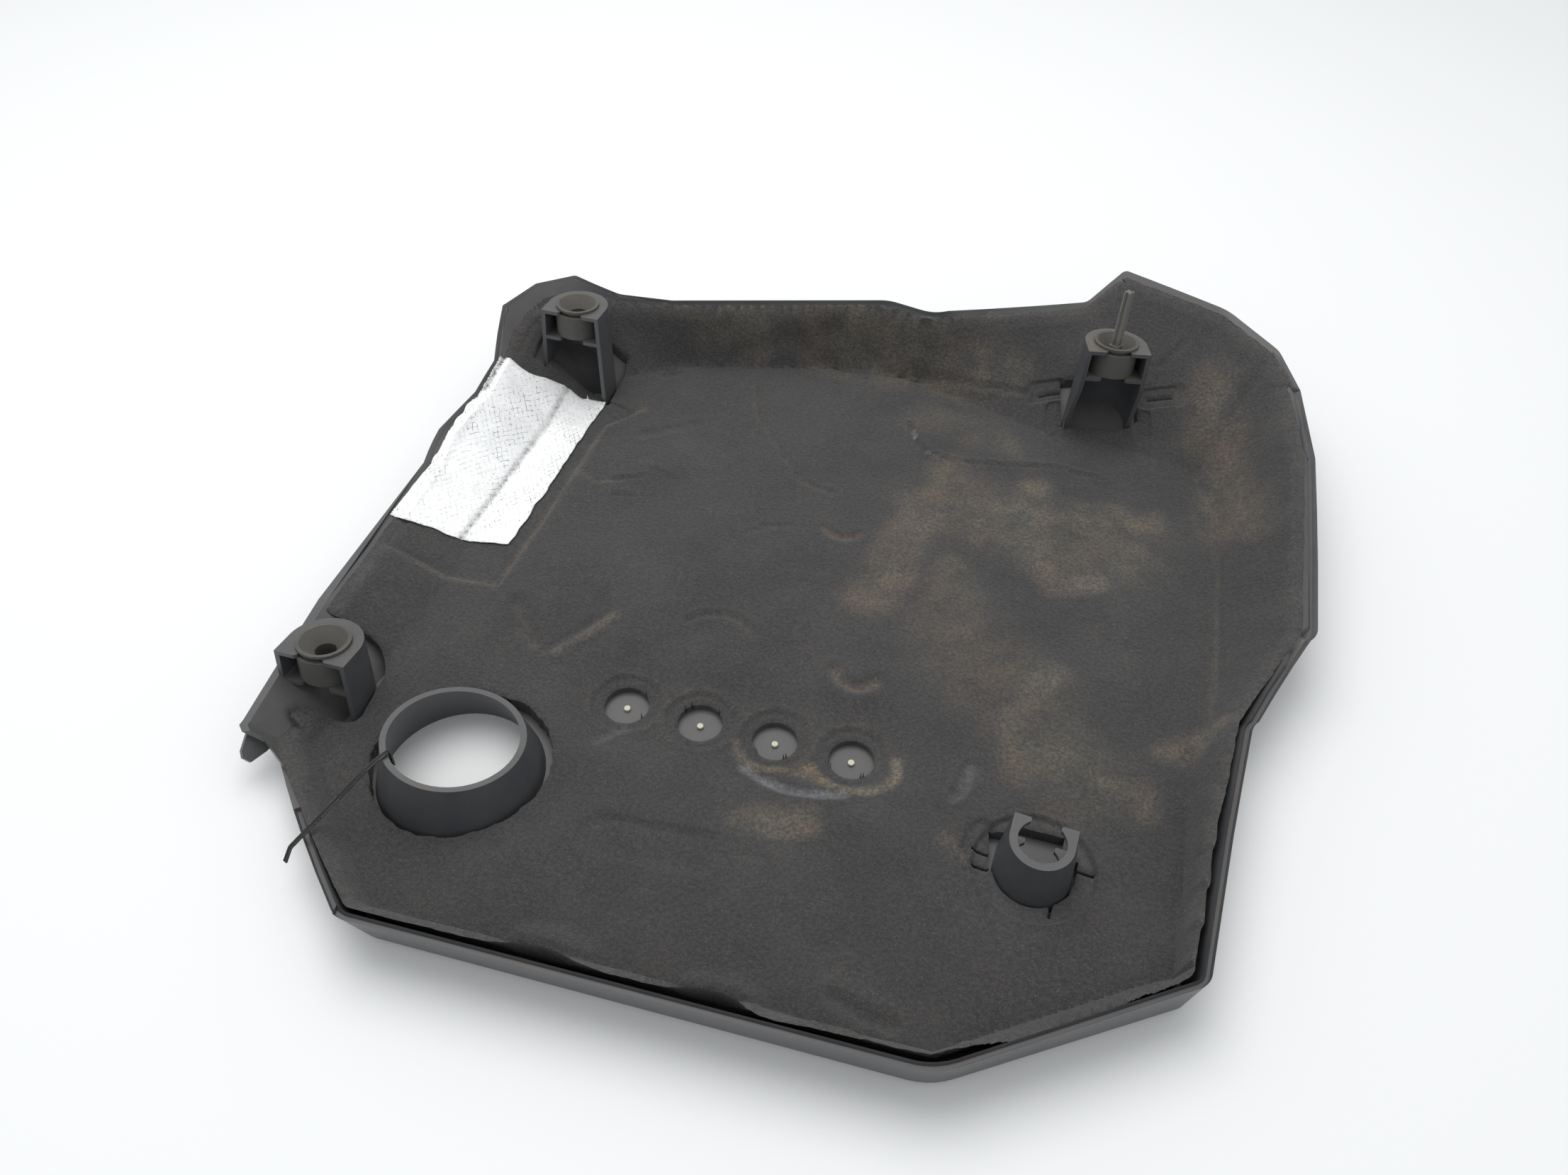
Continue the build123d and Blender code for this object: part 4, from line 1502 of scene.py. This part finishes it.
@dataclass
class Studio:
    """Floor, light and the camera at the photograph's angle."""

    floor_size: float = 14.0
    sky: Colour = (0.94, 0.97, 1.0, 1.0)
    sky_strength: float = 0.72
    lamp_size: float = 1.5
    lamp_place: tuple[float, float, float] = (-0.35, 0.35, 1.5)
    lamp_power: float = 14.0
    eye: tuple[float, float, float] = (0.0861, -0.4373, 0.4594)
    right: tuple[float, float, float] = (0.96198, 0.27217, 0.02190)
    up: tuple[float, float, float] = (-0.21032, 0.68747, 0.69509)
    back: tuple[float, float, float] = (0.17412, -0.67328, 0.71859)
    lens: float = 27.03
    sensor: float = 36.0

    def build(self) -> None:
        """Build the stage."""
        self._floor()
        self._light()
        self._camera()

    def _floor(self) -> None:
        """Lay the floor under the part."""
        bm = bmesh.new()
        bmesh.ops.create_grid(bm, x_segments=2, y_segments=2, size=self.floor_size / 2)
        bmesh.ops.translate(bm, vec=(0.0, 0.0, CAD_BOX[0].z), verts=bm.verts)
        mesh = bpy.data.meshes.new("floor")
        bm.to_mesh(mesh)
        bm.free()
        mesh.materials.append(FloorFinish().material())
        floor = add_object("floor", mesh)

    def _light(self) -> None:
        """Set a pale sky and one broad lamp overhead."""
        world = bpy.data.worlds.new("studio")
        world.use_nodes = True
        sky = world.node_tree.nodes["Background"]
        sky.inputs["Color"].default_value = self.sky
        sky.inputs["Strength"].default_value = self.sky_strength
        bpy.context.scene.world = world
        lamp = bpy.data.lights.new("overhead", "AREA")
        lamp.shape = "DISK"
        lamp.size = self.lamp_size
        lamp.energy = self.lamp_power
        holder = add_object("overhead", lamp)
        holder.location = self.lamp_place
        holder.rotation_euler = (-Vector(self.lamp_place)).to_track_quat("-Z", "Y").to_euler()

    def _camera(self) -> None:
        """Stand the camera where the photograph was taken."""
        data = bpy.data.cameras.new("camera")
        data.sensor_fit = "HORIZONTAL"
        data.sensor_width = self.sensor
        data.lens = self.lens
        data.clip_start = 0.01
        camera = add_object("camera", data)
        turn = Matrix((self.right, self.up, self.back)).transposed()
        camera.matrix_world = Matrix.Translation(self.eye) @ turn.to_4x4()
        bpy.context.scene.camera = camera


def main() -> None:
    """Build every piece, then the stage."""
    logging.basicConfig(level=logging.INFO, format="%(name)s %(relativeCreated)d ms %(message)s")
    bpy.context.scene.view_settings.view_transform = "Standard"
    noise.seed_set(SEED)
    groups = NodeGroups()
    moulded = (
        CoverShell("cover_shell", SHELL_FINISH, Slot.SHELL, edge=0.3 * MM),
        MouldedPiece("grommet_back_left", RUBBER_FINISH, Slot.RUBBER, edge=0.25 * MM),
        MouldedPiece("grommet_back_right", RUBBER_FINISH, Slot.RUBBER, edge=0.25 * MM),
        MouldedPiece("grommet_front_left", RUBBER_FINISH, Slot.RUBBER, edge=0.25 * MM),
        StudPin("stud_pin", STUD_FINISH, Slot.STUD, edge=0.3 * MM),
        MouldedPiece("badge_pins", PIN_FINISH, Slot.PIN, edge=0.5 * MM),
        MouldedPiece("cable_tie", TIE_FINISH, Slot.TIE, edge=0.2 * MM, shrink=0.3 * MM),
    )
    for piece in moulded:
        piece.build(groups)
    FoamLiner().build(groups)
    FoilShield().build(groups)
    Studio().build()


if __name__ == "__main__":
    main()
